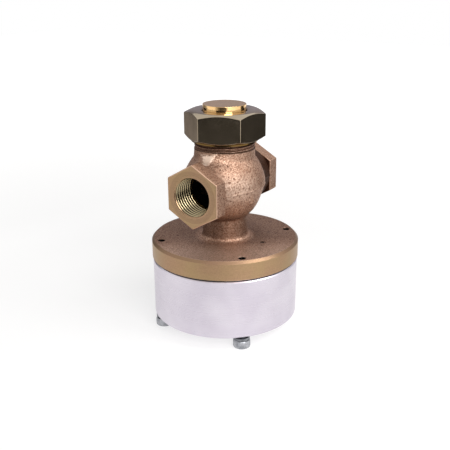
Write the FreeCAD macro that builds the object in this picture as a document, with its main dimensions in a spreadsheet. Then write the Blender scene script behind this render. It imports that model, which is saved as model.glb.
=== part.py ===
import FreeCAD, Part
import math
import os
import Sketcher

# Pneumatic vent valve: a bronze globe body with two threaded ports stands on an aluminium
# actuator cylinder. Pilot air under the piston lifts the stem and takes the disc off its seat.
# Millimetres. Origin on the valve axis at the lowest faces of the clamp screws, +Z up.
# The ports run along Y: the inlet faces -Y and the outlet +Y.

doc = FreeCAD.newDocument("vent_valve")
sheet = doc.addObject("Spreadsheet::Sheet", "Sizes")

SIZES = [
    # Clamp screws, M5 socket head, driven up from below
    ("screw_head_height", 4.0),
    ("screw_head_diameter", 8.6),
    ("screw_head_chamfer", 0.4),
    ("screw_shank_diameter", 5.0),
    ("screw_length", 42.0),
    ("screw_tip_chamfer", 0.6),
    ("screw_socket_width", 4.0),
    ("screw_socket_depth", 2.2),
    ("screw_clearance_hole", 5.5),
    ("screw_edge_distance", 4.14),
    ("thread_gap", 0.05),
    # Split spring washers under the screw heads
    ("washer_free_height", 2.5),
    ("washer_thickness", 1.3),
    ("washer_outside", 8.0),
    ("washer_inside", 5.3),
    ("washer_turns", 0.94),
    # Actuator cylinder
    ("cylinder_diameter", 74.28),
    ("cylinder_height", 29.8),
    ("cylinder_wall", 9.64),
    ("cylinder_floor", 9.0),
    ("cylinder_chamfer", 0.5),
    ("pilot_port_diameter", 9.73),
    ("pilot_port_depth", 7.0),
    ("pilot_port_chamfer", 0.6),
    ("pilot_passage", 3.0),
    # Gasket between the cylinder and the flange
    ("gasket_thickness", 0.9),
    ("gasket_setback", 0.5),
    ("gasket_hole", 5.8),
    # Flange of the casting
    ("flange_overhang", 0.36),
    ("flange_thickness", 9.6),
    ("flange_chamfer", 1.2),
    ("flange_bottom_chamfer", 0.3),
    ("vent_hole", 2.3),
    ("vent_hole_radius", 21.7),
    # Outside of the globe, with its heights measured from the port axis
    ("port_axis_height", 27.8),
    ("foot_diameter", 23.4),
    ("waist_diameter", 22.4),
    ("waist_drop", 16.0),
    ("foot_sweep", 60.0),
    ("foot_fillet", 2.2),
    ("waist_fillet", 2.0),
    ("underside_step", 2.55),
    ("underside_drop", 8.2),
    ("underside_sweep", 16.0),
    ("belly_diameter", 39.7),
    ("belly_rise", 4.0),
    ("flank_sweep", 60.0),
    ("belly_sweep", 10.0),
    ("shoulder_sweep", 28.0),
    ("neck_step", 0.92),
    ("neck_rise", 13.8),
    ("neck_thread_start", 16.6),
    ("neck_thread_core", 28.16),
    ("neck_top_rise", 28.4),
    ("neck_top_chamfer", 0.6),
    ("neck_wall", 1.78),
    ("neck_bore_floor", 11.4),
    # Threaded ports
    ("port_reach", 10.15),
    ("port_hex_width", 27.6),
    ("port_hex_length", 7.6),
    ("port_edge_round", 0.7),
    ("port_collar_diameter", 26.8),
    ("port_collar_sink", 7.85),
    ("port_collar_fillet", 2.0),
    ("port_thread_diameter", 20.96),
    ("port_thread_length", 14.0),
    ("port_passage_diameter", 17.4),
    ("port_passage_end_gap", 0.1),
    # Chambers inside the globe
    ("chamber_wall", 3.3),
    ("chamber_floor_drop", 12.1),
    ("chamber_floor_diameter", 18.0),
    ("bridge_thickness", 3.2),
    ("bridge_rise", 0.2),
    ("bridge_half_width", 10.9),
    # Seat ring pressed into the bridge
    ("seat_hole", 18.04),
    ("seat_bore", 14.0),
    ("seat_lip", 1.2),
    ("seat_tail", 0.6),
    ("seat_land_width", 1.2),
    ("press_gap", 0.02),
    # Disc group on the stem
    ("stroke", 5.0),
    ("facing_thickness", 2.6),
    ("facing_diameter", 18.4),
    ("disc_diameter", 19.8),
    ("disc_thickness", 4.4),
    ("disc_lip", 1.4),
    ("disc_edge_chamfer", 0.5),
    ("facing_washer_thickness", 1.2),
    ("facing_washer_diameter", 11.2),
    ("nut_face_share", 0.97),
    ("disc_nut_width", 10.0),
    ("disc_nut_height", 5.0),
    # Stem and its guide
    ("stem_diameter", 8.0),
    ("stem_end_diameter", 6.0),
    ("stem_top_stand", 1.5),
    ("stem_bottom_stand", 0.4),
    ("stem_end_chamfer", 0.5),
    ("running_gap", 0.03),
    ("slip_gap", 0.05),
    ("guide_diameter", 12.4),
    ("guide_collar_thickness", 2.0),
    ("gland_diameter", 15.2),
    ("gland_depth", 14.8),
    ("gland_gap", 0.05),
    ("seal_section", 3.4),
    ("seal_gap", 0.08),
    ("seal_spacer_height", 2.0),
    ("seal_retainer_height", 2.6),
    ("retainer_gap", 0.2),
    ("circlip_thickness", 1.0),
    ("circlip_inside", 13.2),
    ("circlip_groove_diameter", 16.6),
    ("circlip_groove_gap", 0.05),
    ("circlip_opening", 5.0),
    # Piston group
    ("piston_rest_gap", 0.5),
    ("piston_height", 10.0),
    ("piston_gap", 0.1),
    ("piston_chamfer", 0.5),
    ("piston_nut_recess", 14.0),
    ("piston_nut_recess_depth", 5.6),
    ("piston_nut_width", 10.0),
    ("piston_nut_height", 5.0),
    ("piston_washer_thickness", 1.2),
    ("piston_washer_diameter", 13.0),
    ("ring_section", 3.0),
    ("ring_gap", 0.08),
    ("ring_groove_play", 0.15),
    ("ring_rise", 3.8),
    ("band_height", 2.0),
    ("band_thickness", 1.5),
    ("band_gap", 0.05),
    ("band_rise", 6.6),
    ("spring_groove_inside", 22.6),
    ("spring_groove_outside", 33.4),
    ("spring_groove_depth", 3.2),
    ("stop_sleeve_diameter", 12.0),
    # Springs
    ("return_spring_mean", 28.0),
    ("return_spring_wire", 2.2),
    ("return_spring_turns", 3.0),
    ("closing_spring_mean", 15.2),
    ("closing_spring_wire", 1.2),
    ("closing_spring_turns", 5.0),
    ("spring_end_gap", 0.05),
    # Plug on top of the neck
    ("plug_gasket_thickness", 1.5),
    ("plug_gasket_gap", 0.1),
    ("plug_collar_setback", 0.28),
    ("plug_collar_thickness", 3.0),
    ("plug_boss_gap", 0.2),
    ("plug_boss_depth", 5.0),
    ("plug_pocket_diameter", 17.2),
    ("plug_pocket_depth", 4.5),
    ("plug_diameter", 21.3),
    ("plug_stand", 2.85),
    ("plug_edge_round", 0.9),
    # Union nut and the ring it presses through
    ("thrust_ring_thickness", 0.8),
    ("nut_lip_thickness", 3.2),
    ("nut_height", 14.8),
    ("nut_width", 35.0),
    ("nut_face_diameter", 33.0),
    ("nut_chamfer_height", 1.78),
    ("nut_skirt_lip", 0.6),
    ("nut_thread_gap", 0.11),
    ("nut_hole_gap", 0.45),
    ("nut_hole_chamfer", 0.5),
    ("nut_mouth_chamfer", 0.8),
]
for row, (alias, number) in enumerate(SIZES, start=1):
    sheet.set(f"A{row}", alias)
    sheet.set(f"B{row}", str(number))
    sheet.setAlias(f"B{row}", alias)
doc.recompute()

# Where each clamp screw stands on the bolt circle, and which way the split of its washer points
SCREW_ANGLES = [45, 135, 225, 315]
WASHER_SPLITS = [70, 165, 10, 220]
HEX_ANGLES = [0, 60, 120, 180, 240, 300]
# Turn of the union nut, and how far tools run past the faces that they cut
NUT_TURN = 22.5
BEYOND = 1
# Edges that lie this near to a place are taken to be at it
NEAR = 0.01

# Radii that follow the outside of the cylinder
CYLINDER_RADIUS = "Sizes.cylinder_diameter / 2"
BORE_RADIUS = f"({CYLINDER_RADIUS} - Sizes.cylinder_wall)"
BOLT_RADIUS = f"({CYLINDER_RADIUS} - Sizes.screw_edge_distance)"
FLANGE_RADIUS = f"({CYLINDER_RADIUS} + Sizes.flange_overhang)"

# Radii and distances that follow the belly of the globe
BELLY_RADIUS = "Sizes.belly_diameter / 2"
UNDERSIDE_RADIUS = f"({BELLY_RADIUS} - Sizes.underside_step)"
PORT_FACE = f"({BELLY_RADIUS} + Sizes.port_reach)"
PORT_HEX_ROOT = f"({PORT_FACE} - Sizes.port_hex_length)"
PORT_COLLAR_ROOT = f"({BELLY_RADIUS} - Sizes.port_collar_sink)"

# Radii that follow the thread of the neck
NECK_THREAD_RADIUS = "Sizes.neck_thread_core / 2"
NECK_RADIUS = f"({NECK_THREAD_RADIUS} + Sizes.neck_step)"
NECK_BORE_RADIUS = f"({NECK_THREAD_RADIUS} - Sizes.neck_wall)"
PLUG_COLLAR_RADIUS = f"({NECK_THREAD_RADIUS} - Sizes.plug_collar_setback)"
PLUG_GASKET_INSIDE = f"({NECK_BORE_RADIUS} + Sizes.plug_gasket_gap)"
NUT_THREAD_RADIUS = f"({NECK_THREAD_RADIUS} + Sizes.nut_thread_gap)"

# Levels along the valve axis, each built on the one below it
HEAD_TOP = "Sizes.screw_head_height"
CYLINDER_BASE = f"{HEAD_TOP} + Sizes.washer_free_height"
CYLINDER_INNER_FLOOR = f"{CYLINDER_BASE} + Sizes.cylinder_floor"
CYLINDER_TOP = f"{CYLINDER_BASE} + Sizes.cylinder_height"
FLANGE_BASE = f"{CYLINDER_TOP} + Sizes.gasket_thickness"
FLANGE_TOP = f"{FLANGE_BASE} + Sizes.flange_thickness"
PORT_AXIS = f"{FLANGE_TOP} + Sizes.port_axis_height"
CHAMBER_FLOOR = f"{PORT_AXIS} - Sizes.chamber_floor_drop"
BRIDGE_TOP = f"{PORT_AXIS} + Sizes.bridge_rise"
BRIDGE_BASE = f"{BRIDGE_TOP} - Sizes.bridge_thickness"
SEAT_TOP = f"{BRIDGE_TOP} + Sizes.seat_lip"
STEM_SHOULDER = f"{SEAT_TOP} - Sizes.facing_washer_thickness"
DISC_BASE = f"{SEAT_TOP} + Sizes.facing_thickness"
DISC_TOP = f"{DISC_BASE} + Sizes.disc_thickness"
DISC_NUT_TOP = f"{DISC_TOP} + Sizes.disc_nut_height"
STEM_TOP = f"{DISC_NUT_TOP} + Sizes.stem_top_stand"
NECK_TOP = f"{PORT_AXIS} + Sizes.neck_top_rise"
PLUG_COLLAR_BASE = f"{NECK_TOP} + Sizes.plug_gasket_thickness"
PLUG_COLLAR_TOP = f"{PLUG_COLLAR_BASE} + Sizes.plug_collar_thickness"
THRUST_RING_TOP = f"{PLUG_COLLAR_TOP} + Sizes.thrust_ring_thickness"
NUT_TOP = f"{THRUST_RING_TOP} + Sizes.nut_lip_thickness"
NUT_BASE = f"{NUT_TOP} - Sizes.nut_height"
PLUG_TOP = f"{NUT_TOP} + Sizes.plug_stand"
PLUG_BOSS_BASE = f"{NECK_TOP} - Sizes.plug_boss_depth"
PLUG_POCKET_TOP = f"{PLUG_BOSS_BASE} + Sizes.plug_pocket_depth"
PISTON_BASE = f"{CYLINDER_INNER_FLOOR} + Sizes.piston_rest_gap"
PISTON_WEB = f"{PISTON_BASE} + Sizes.piston_nut_recess_depth"
PISTON_TOP = f"{PISTON_BASE} + Sizes.piston_height"
PISTON_NUT_BASE = f"{PISTON_WEB} - Sizes.piston_nut_height"
STEM_BOTTOM = f"{PISTON_NUT_BASE} - Sizes.stem_bottom_stand"
PISTON_WASHER_TOP = f"{PISTON_TOP} + Sizes.piston_washer_thickness"
SPRING_SEAT = f"{PISTON_TOP} - Sizes.spring_groove_depth"
GLAND_TOP = f"{FLANGE_BASE} + Sizes.gland_depth"
GUIDE_COLLAR_BASE = f"{GLAND_TOP} - Sizes.guide_collar_thickness"
UPPER_SEAL_BASE = f"{GUIDE_COLLAR_BASE} - Sizes.seal_section - 2 * Sizes.gland_gap"
SPACER_BASE = f"{UPPER_SEAL_BASE} - Sizes.seal_spacer_height"
LOWER_SEAL_BASE = f"{SPACER_BASE} - Sizes.seal_section - 2 * Sizes.gland_gap"
RETAINER_BASE = f"{LOWER_SEAL_BASE} - Sizes.seal_retainer_height"
CIRCLIP_BASE = f"{RETAINER_BASE} - Sizes.circlip_thickness"
STOP_SLEEVE_TOP = f"{RETAINER_BASE} - Sizes.stroke"
RING_BASE = f"{PISTON_BASE} + Sizes.ring_rise - Sizes.ring_section / 2"
BAND_BASE = f"{PISTON_BASE} + Sizes.band_rise"
BAND_TOP = f"{BAND_BASE} + Sizes.band_height"


def half(alias):
    """Expression for half of one sheet size, such as the radius of a diameter."""
    return f"Sizes.{alias} / 2"


def value(expression):
    """Number that an expression of sheet sizes has now."""
    return float(sheet.evalExpression(expression))


# Fits between pieces, each used on both sides
RING_INSIDE = f"{BORE_RADIUS} - Sizes.ring_gap - Sizes.ring_section"
RING_GROOVE_FLOOR = f"{RING_INSIDE} - Sizes.ring_groove_play"
BAND_INSIDE = f"{BORE_RADIUS} - Sizes.band_gap - Sizes.band_thickness"
SEAL_INSIDE = f"{half('stem_diameter')} + Sizes.seal_gap"
GLAND_FIT = f"{half('gland_diameter')} - Sizes.gland_gap"
STEM_END_FIT = f"{half('stem_end_diameter')} + Sizes.slip_gap"
STEM_SLIP_FIT = f"{half('stem_diameter')} + Sizes.slip_gap"
SPACER_INSIDE = f"{half('stem_diameter')} + Sizes.retainer_gap"
PLUG_FIT = f"{half('plug_diameter')} + Sizes.plug_boss_gap"


def new_body(name):
    """Empty body whose label is the name of the sub-part."""
    body = doc.addObject("PartDesign::Body", name)
    body.Label = name
    return body


def new_sketch(body, role, name, offset=None):
    """Sketch on one of the body's own origin planes, moved along its normal by an expression."""
    sketch = body.newObject("Sketcher::SketchObject", name)
    origin_plane = next(feature for feature in body.Origin.OriginFeatures if feature.Role == role)
    sketch.AttachmentSupport = [(origin_plane, "")]
    sketch.MapMode = "FlatFace"
    if offset:
        sketch.setExpression("AttachmentOffset.Base.z", offset)
    return sketch


def pin_point(sketch, geometry, end, expressions):
    """Hold one end of a sketch line or arc at a place given by two expressions."""
    kinds = ("DistanceX", "DistanceY")
    axes = (-2, -1)
    for kind, axis, expression in zip(kinds, axes, expressions):
        number = value(expression)
        if abs(number) < 1e-9:
            sketch.addConstraint(Sketcher.Constraint("PointOnObject", geometry, end, axis))
            continue
        if number > 0:
            index = sketch.addConstraint(Sketcher.Constraint(kind, -1, 1, geometry, end, number))
            sketch.setExpression(f"Constraints[{index}]", expression)
        else:
            index = sketch.addConstraint(Sketcher.Constraint(kind, geometry, end, -1, 1, -number))
            sketch.setExpression(f"Constraints[{index}]", f"-({expression})")


def arc_between(first, last, radius, side):
    """Short arc between two points; side 1 turns counter-clockwise, -1 clockwise."""
    start, end = (first, last) if side > 0 else (last, first)
    chord = math.hypot(end[0] - start[0], end[1] - start[1])
    rise = math.sqrt(radius * radius - chord * chord / 4)
    centre_x = (start[0] + end[0]) / 2 - (end[1] - start[1]) / chord * rise
    centre_y = (start[1] + end[1]) / 2 + (end[0] - start[0]) / chord * rise
    circle = Part.Circle(FreeCAD.Vector(centre_x, centre_y, 0), FreeCAD.Vector(0, 0, 1), radius)
    begin_angle = math.atan2(start[1] - centre_y, start[0] - centre_x)
    end_angle = math.atan2(end[1] - centre_y, end[0] - centre_x)
    return Part.ArcOfCircle(circle, begin_angle, end_angle)


def draw_outline(sketch, corners):
    """Closed outline through corners (x, y) or (x, y, radius, side) for an arc to the next one."""
    places = [(value(corner[0]), value(corner[1])) for corner in corners]
    ends = []
    for index, corner in enumerate(corners):
        first, last = places[index], places[(index + 1) % len(corners)]
        if len(corner) == 4:
            side = corner[3]
            geometry = sketch.addGeometry(arc_between(first, last, value(corner[2]), side), False)
            ends.append((geometry, 1, 2) if side > 0 else (geometry, 2, 1))
            radius = Sketcher.Constraint("Radius", geometry, value(corner[2]))
            sketch.setExpression(f"Constraints[{sketch.addConstraint(radius)}]", corner[2])
        else:
            line = Part.LineSegment(FreeCAD.Vector(*first, 0), FreeCAD.Vector(*last, 0))
            geometry = sketch.addGeometry(line, False)
            ends.append((geometry, 1, 2))
    for index, corner in enumerate(corners):
        before, here = ends[index - 1], ends[index]
        meet = Sketcher.Constraint("Coincident", before[0], before[2], here[0], here[1])
        sketch.addConstraint(meet)
        pin_point(sketch, here[0], here[1], corner[:2])


def draw_circle(sketch, centre, diameter):
    """Circle whose centre and diameter follow expressions."""
    place = FreeCAD.Vector(value(centre[0]), value(centre[1]), 0)
    size = value(diameter) / 2
    circle = Part.Circle(place, FreeCAD.Vector(0, 0, 1), size)
    geometry = sketch.addGeometry(circle, False)
    pin_point(sketch, geometry, 3, centre)
    index = sketch.addConstraint(Sketcher.Constraint("Radius", geometry, size))
    sketch.setExpression(f"Constraints[{index}]", f"({diameter}) / 2")


def turned(body, name, corners, cut=False):
    """Turn an outline of (radius, height) corners about the body's Z axis, to add or to cut."""
    sketch = new_sketch(body, "XZ_Plane", name + "_outline")
    draw_outline(sketch, corners)
    kind = "PartDesign::Groove" if cut else "PartDesign::Revolution"
    feature = body.newObject(kind, name)
    feature.Profile = sketch
    feature.ReferenceAxis = (sketch, ["V_Axis"])
    feature.Angle = 360
    return feature


def groove(body, name, near, far, base, top):
    """Cut a square groove between two radii and two levels."""
    turned(body, name, [(near, base), (far, base), (far, top), (near, top)], cut=True)


def ring(name, inside, outside, base, top):
    """Body of a plain ring between two radii and two levels."""
    body = new_body(name)
    turned(body, name + "_ring", [(inside, base), (outside, base), (outside, top), (inside, top)])
    return body


def seal_ring(name, inside, section, base):
    """Round-section seal ring: its inside radius, section diameter and lowest level."""
    body = new_body(name)
    sketch = new_sketch(body, "XZ_Plane", name + "_section")
    draw_circle(sketch, (f"{inside} + ({section}) / 2", f"{base} + ({section}) / 2"), section)
    feature = body.newObject("PartDesign::Revolution", name + "_torus")
    feature.Profile = sketch
    feature.ReferenceAxis = (sketch, ["V_Axis"])
    feature.Angle = 360
    return body


def hexagon_corners(width, turn, centre_height="0"):
    """Corners of a hexagon of a width across flats, turned by an angle in degrees."""
    corners = []
    for angle in HEX_ANGLES:
        reach = f"{width} / 2 / cos(30 deg)"
        across = f"{reach} * cos({angle + turn} deg)"
        along = f"{centre_height} + {reach} * sin({angle + turn} deg)"
        corners.append((across, along))
    return corners


def pad(body, name, sketch, length, reverse=False):
    """Pad a sketch by an expression."""
    feature = body.newObject("PartDesign::Pad", name)
    feature.Profile = sketch
    feature.setExpression("Length", length)
    feature.Reversed = reverse
    return feature


def chamfer_ends(body, name, reach, face, drop, base, top):
    """Turn the corners of a hexagon blank down to a face radius at both of its ends."""
    beyond = f"{reach} + {BEYOND}"
    fall = f"(({drop}) * (1 + {BEYOND} / ({reach} - {face})))"
    above = f"{top} + {BEYOND}"
    below = f"{base} - {BEYOND}"
    top_cut = [(face, top), (beyond, f"{top} - {fall}"), (beyond, above), (face, above)]
    base_cut = [(face, below), (beyond, below), (beyond, f"{base} + {fall}"), (face, base)]
    turned(body, name + "_top_chamfer", top_cut, cut=True)
    turned(body, name + "_base_chamfer", base_cut, cut=True)


def hex_nut(name, base, bore, turn):
    """Small hexagon nut with chamfered corners and the sizes that bear its name."""
    body = new_body(name)
    width, height = f"Sizes.{name}_width", f"Sizes.{name}_height"
    sketch = new_sketch(body, "XY_Plane", name + "_hexagon", base)
    draw_outline(sketch, hexagon_corners(width, turn))
    pad(body, name + "_blank", sketch, height)
    top = f"{base} + {height}"
    reach = f"{width} / 2 / cos(30 deg)"
    face = f"{width} / 2 * Sizes.nut_face_share"
    drop = f"({reach} - {face}) * tan(30 deg)"
    chamfer_ends(body, name, reach, face, drop, base, top)
    below = f"{base} - {BEYOND}"
    above = f"{top} + {BEYOND}"
    bore_corners = [("0", below), (bore, below), (bore, above), ("0", above)]
    turned(body, name + "_bore", bore_corners, cut=True)
    return body


def coil_spring(name, base, top):
    """Round-wire compression spring between two levels, with the sizes that bear its name."""
    body = new_body(name)
    mean, wire, turns = (f"Sizes.{name}_{size}" for size in ("mean", "wire", "turns"))
    sketch = new_sketch(body, "XZ_Plane", name + "_wire")
    lowest = f"{base} + {wire} / 2 + Sizes.spring_end_gap"
    highest = f"{top} - {wire} / 2 - Sizes.spring_end_gap"
    draw_circle(sketch, (f"{mean} / 2", lowest), wire)
    coil = body.newObject("PartDesign::AdditiveHelix", name + "_coil")
    coil.Profile = sketch
    coil.ReferenceAxis = (sketch, ["V_Axis"])
    coil.Mode = "height-turns-angle"
    coil.setExpression("Height", f"{highest} - ({lowest})")
    coil.setExpression("Turns", turns)
    return body


def mirrored_across(body, name, features):
    """Repeat features of a body on the other side of its XZ plane."""
    mirror = body.newObject("PartDesign::Mirrored", name)
    mirror.Originals = features
    middle = next(item for item in body.Origin.OriginFeatures if item.Role == "XZ_Plane")
    mirror.MirrorPlane = (middle, [""])
    body.Tip = mirror
    return body


# Outside of the casting: flange, foot, waist, globe and neck in one turned form
def casting_blank():
    """Bronze casting before its chambers and machining are cut."""
    body = new_body("casting_blank")
    flange = FLANGE_RADIUS
    corners = [
        ("0", FLANGE_BASE),
        (f"{flange} - Sizes.flange_bottom_chamfer", FLANGE_BASE),
        (flange, f"{FLANGE_BASE} + Sizes.flange_bottom_chamfer"),
        (flange, f"{FLANGE_TOP} - Sizes.flange_chamfer"),
        (f"{flange} - Sizes.flange_chamfer", FLANGE_TOP),
        (half("foot_diameter"), FLANGE_TOP, "Sizes.foot_sweep", -1),
        (half("waist_diameter"), f"{PORT_AXIS} - Sizes.waist_drop", "Sizes.underside_sweep", 1),
        (UNDERSIDE_RADIUS, f"{PORT_AXIS} - Sizes.underside_drop", "Sizes.flank_sweep", 1),
        (BELLY_RADIUS, PORT_AXIS, "Sizes.belly_sweep", 1),
        (BELLY_RADIUS, f"{PORT_AXIS} + Sizes.belly_rise", "Sizes.shoulder_sweep", 1),
        (NECK_RADIUS, f"{PORT_AXIS} + Sizes.neck_rise"),
        (NECK_RADIUS, f"{PORT_AXIS} + Sizes.neck_thread_start"),
        (NECK_THREAD_RADIUS, f"{PORT_AXIS} + Sizes.neck_thread_start"),
        (NECK_THREAD_RADIUS, f"{NECK_TOP} - Sizes.neck_top_chamfer"),
        (f"{NECK_THREAD_RADIUS} - Sizes.neck_top_chamfer", NECK_TOP),
        ("0", NECK_TOP),
    ]
    turned(body, "casting_form", corners)
    hexagon = new_sketch(body, "XZ_Plane", "port_hexagon", PORT_HEX_ROOT)
    draw_outline(hexagon, hexagon_corners("Sizes.port_hex_width", 90, PORT_AXIS))
    port_hex = pad(body, "port_hex", hexagon, "Sizes.port_hex_length")
    circle = new_sketch(body, "XZ_Plane", "port_collar_circle", PORT_COLLAR_ROOT)
    draw_circle(circle, ("0", PORT_AXIS), "Sizes.port_collar_diameter")
    collar_length = f"{PORT_FACE} - Sizes.port_hex_length / 2 - {PORT_COLLAR_ROOT}"
    collar = pad(body, "port_collar", circle, collar_length)
    mirrored_across(body, "both_ports", [port_hex, collar])
    ports = body.Tip
    doc.recompute()
    edges = port_hex_edges(ports.Shape)
    rounds = fillet(body, "port_edge_rounds", ports, edges, "Sizes.port_edge_round")
    waist_level = value(f"{PORT_AXIS} - Sizes.waist_drop")
    waist = circles_at(rounds.Shape, waist_level, value(half("waist_diameter")))
    rounds = fillet(body, "waist_round", rounds, waist, "Sizes.waist_fillet")
    foot = circles_at(rounds.Shape, value(FLANGE_TOP), value(half("foot_diameter")))
    rounds = fillet(body, "foot_round", rounds, foot, "Sizes.foot_fillet")
    fillet(body, "collar_rounds", rounds, collar_root_edges(rounds.Shape), "Sizes.port_collar_fillet")
    return body


def fillet(body, name, base, edges, radius):
    """Round the named edges of a feature to a sheet size."""
    feature = body.newObject("PartDesign::Fillet", name)
    feature.Base = (base, edges)
    feature.setExpression("Radius", radius)
    doc.recompute()
    return feature


def port_hex_edges(shape):
    """Names of the straight edges that bound the two port hexagons."""
    lowest = value(f"{PORT_AXIS} - Sizes.port_hex_width")
    root = value(PORT_HEX_ROOT)
    names = []
    for index, edge in enumerate(shape.Edges, start=1):
        middle = edge.CenterOfMass
        straight = edge.Curve.TypeId == "Part::GeomLine"
        if straight and abs(middle.y) > root - NEAR and middle.z > lowest:
            names.append(f"Edge{index}")
    return names


def circles_at(shape, level, radius):
    """Names of the full circles about the Z axis at one level and radius."""
    names = []
    for index, edge in enumerate(shape.Edges, start=1):
        box = edge.BoundBox
        flat = abs(box.ZMin - level) < NEAR and abs(box.ZMax - level) < NEAR
        if flat and abs(box.XMax - radius) < NEAR and abs(box.XMin + radius) < NEAR:
            names.append(f"Edge{index}")
    return names


def farthest_from_middle(edge):
    """Greatest distance of an edge from the XZ plane."""
    return max(edge.BoundBox.YMax, -edge.BoundBox.YMin)


def collar_root_edges(shape):
    """Names of the edges where the round port collars leave the globe."""
    radius = value(half("port_collar_diameter"))
    root = value(PORT_HEX_ROOT)
    rims = []
    for face in shape.Faces:
        surface = face.Surface
        if surface.TypeId == "Part::GeomCylinder" and abs(surface.Radius - radius) < NEAR:
            rims += [edge for edge in face.Edges if farthest_from_middle(edge) < root - NEAR]
    edges = enumerate(shape.Edges, start=1)
    return [f"Edge{index}" for index, edge in edges if any(edge.isSame(rim) for rim in rims)]


# Inside of the casting: two chambers parted by a stepped bridge that carries the seat
def chamber_space():
    """Both chambers as one turned space that follows the outside of the globe."""
    body = new_body("chamber_space")
    underside = f"{UNDERSIDE_RADIUS} - Sizes.chamber_wall"
    belly = f"{BELLY_RADIUS} - Sizes.chamber_wall"
    neck = f"{NECK_RADIUS} - Sizes.chamber_wall"
    corners = [
        ("0", CHAMBER_FLOOR),
        (half("chamber_floor_diameter"), CHAMBER_FLOOR),
        (underside, f"{PORT_AXIS} - Sizes.underside_drop", "Sizes.flank_sweep", 1),
        (belly, PORT_AXIS, "Sizes.belly_sweep", 1),
        (belly, f"{PORT_AXIS} + Sizes.belly_rise", "Sizes.shoulder_sweep", 1),
        (neck, f"{PORT_AXIS} + Sizes.neck_rise"),
        ("0", f"{PORT_AXIS} + Sizes.neck_rise"),
    ]
    turned(body, "chamber_form", corners)
    return body


def bridge_wall():
    """Stepped wall: up on the inlet side, across under the disc, down on the outlet side."""
    body = new_body("bridge_wall")
    sketch = new_sketch(body, "YZ_Plane", "bridge_outline")
    near = "Sizes.bridge_half_width"
    far = "Sizes.bridge_half_width + Sizes.bridge_thickness"
    ceiling = f"{PORT_AXIS} + Sizes.neck_thread_start"
    cellar = f"{CHAMBER_FLOOR} - Sizes.bridge_thickness"
    corners = [
        (f"-({far})", BRIDGE_BASE),
        (near, BRIDGE_BASE),
        (near, cellar),
        (far, cellar),
        (far, BRIDGE_TOP),
        (f"-{near}", BRIDGE_TOP),
        (f"-{near}", ceiling),
        (f"-({far})", ceiling),
    ]
    draw_outline(sketch, corners)
    feature = pad(body, "bridge_plate", sketch, "Sizes.belly_diameter")
    feature.SideType = "Symmetric"
    return body


def centre_machining():
    """Bores on the valve axis: gland, circlip groove, guide, seat hole and neck."""
    body = new_body("centre_machining")
    guide = f"{half('guide_diameter')} + Sizes.press_gap"
    groove = half("circlip_groove_diameter")
    groove_base = f"{CIRCLIP_BASE} - Sizes.circlip_groove_gap"
    groove_top = f"{RETAINER_BASE} + Sizes.circlip_groove_gap"
    neck_floor = f"{PORT_AXIS} + Sizes.neck_bore_floor"
    corners = [
        ("0", f"{FLANGE_BASE} - {BEYOND}"),
        (half("gland_diameter"), f"{FLANGE_BASE} - {BEYOND}"),
        (half("gland_diameter"), groove_base),
        (groove, groove_base),
        (groove, groove_top),
        (half("gland_diameter"), groove_top),
        (half("gland_diameter"), GLAND_TOP),
        (guide, GLAND_TOP),
        (guide, f"{BRIDGE_BASE} - {BEYOND}"),
        (half("seat_hole"), f"{BRIDGE_BASE} - {BEYOND}"),
        (half("seat_hole"), neck_floor),
        (NECK_BORE_RADIUS, neck_floor),
        (NECK_BORE_RADIUS, f"{NECK_TOP} + {BEYOND}"),
        ("0", f"{NECK_TOP} + {BEYOND}"),
    ]
    turned(body, "centre_bores", corners)
    return body


def port_machining():
    """Threaded bores of both ports, each with a passage on to the chambers behind it."""
    body = new_body("port_machining")
    depth = f"{PORT_FACE} - Sizes.port_thread_length"
    sketch = new_sketch(body, "XZ_Plane", "port_bore_circle", depth)
    draw_circle(sketch, ("0", PORT_AXIS), "Sizes.port_thread_diameter")
    inlet = pad(body, "inlet_bore", sketch, f"Sizes.port_thread_length + {BEYOND}")
    bridge_face = "Sizes.bridge_half_width + Sizes.bridge_thickness + Sizes.port_passage_end_gap"
    sketch = new_sketch(body, "XZ_Plane", "port_passage_circle", bridge_face)
    draw_circle(sketch, ("0", PORT_AXIS), "Sizes.port_passage_diameter")
    passage = pad(body, "inlet_passage", sketch, f"{depth} - ({bridge_face}) + {BEYOND}")
    return mirrored_across(body, "both_bores", [inlet, passage])


def flange_machining():
    """Tapped holes on the bolt circle, as one body with its pattern."""
    body = new_body("tapped_holes")
    sketch = new_sketch(body, "XY_Plane", "tapped_circle", f"{FLANGE_BASE} - {BEYOND}")
    hole = "Sizes.screw_shank_diameter + 2 * Sizes.thread_gap"
    draw_circle(sketch, bolt_place(SCREW_ANGLES[0]), hole)
    first = pad(body, "first_tapped_hole", sketch, f"Sizes.flange_thickness + 2 * {BEYOND}")
    pattern = body.newObject("PartDesign::PolarPattern", "tapped_pattern")
    pattern.Originals = [first]
    pattern.Axis = (sketch, ["N_Axis"])
    pattern.Angle = 360
    pattern.Occurrences = len(SCREW_ANGLES)
    body.Tip = pattern
    return body


def vent_drill():
    """Small hole that vents the space above the piston through the flange."""
    body = new_body("vent_drill")
    sketch = new_sketch(body, "XY_Plane", "vent_circle", f"{FLANGE_BASE} - {BEYOND}")
    draw_circle(sketch, ("Sizes.vent_hole_radius", "0"), "Sizes.vent_hole")
    pad(body, "vent_bore", sketch, f"Sizes.flange_thickness + 2 * {BEYOND}")
    return body


def cut(name, base, tool):
    """Base with the tool taken away."""
    feature = doc.addObject("Part::Cut", name)
    feature.Base = base
    feature.Tool = tool
    feature.Label = name
    return feature


def valve_body():
    """Finished casting: blank, less its parted chambers and all its machined bores."""
    chambers = cut("parted_chambers", chamber_space(), bridge_wall())
    machining = doc.addObject("Part::MultiFuse", "body_machining")
    machining.Shapes = [centre_machining(), port_machining(), flange_machining(), vent_drill()]
    cored = cut("cored_casting", casting_blank(), chambers)
    return cut("valve_body", cored, machining)


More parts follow.
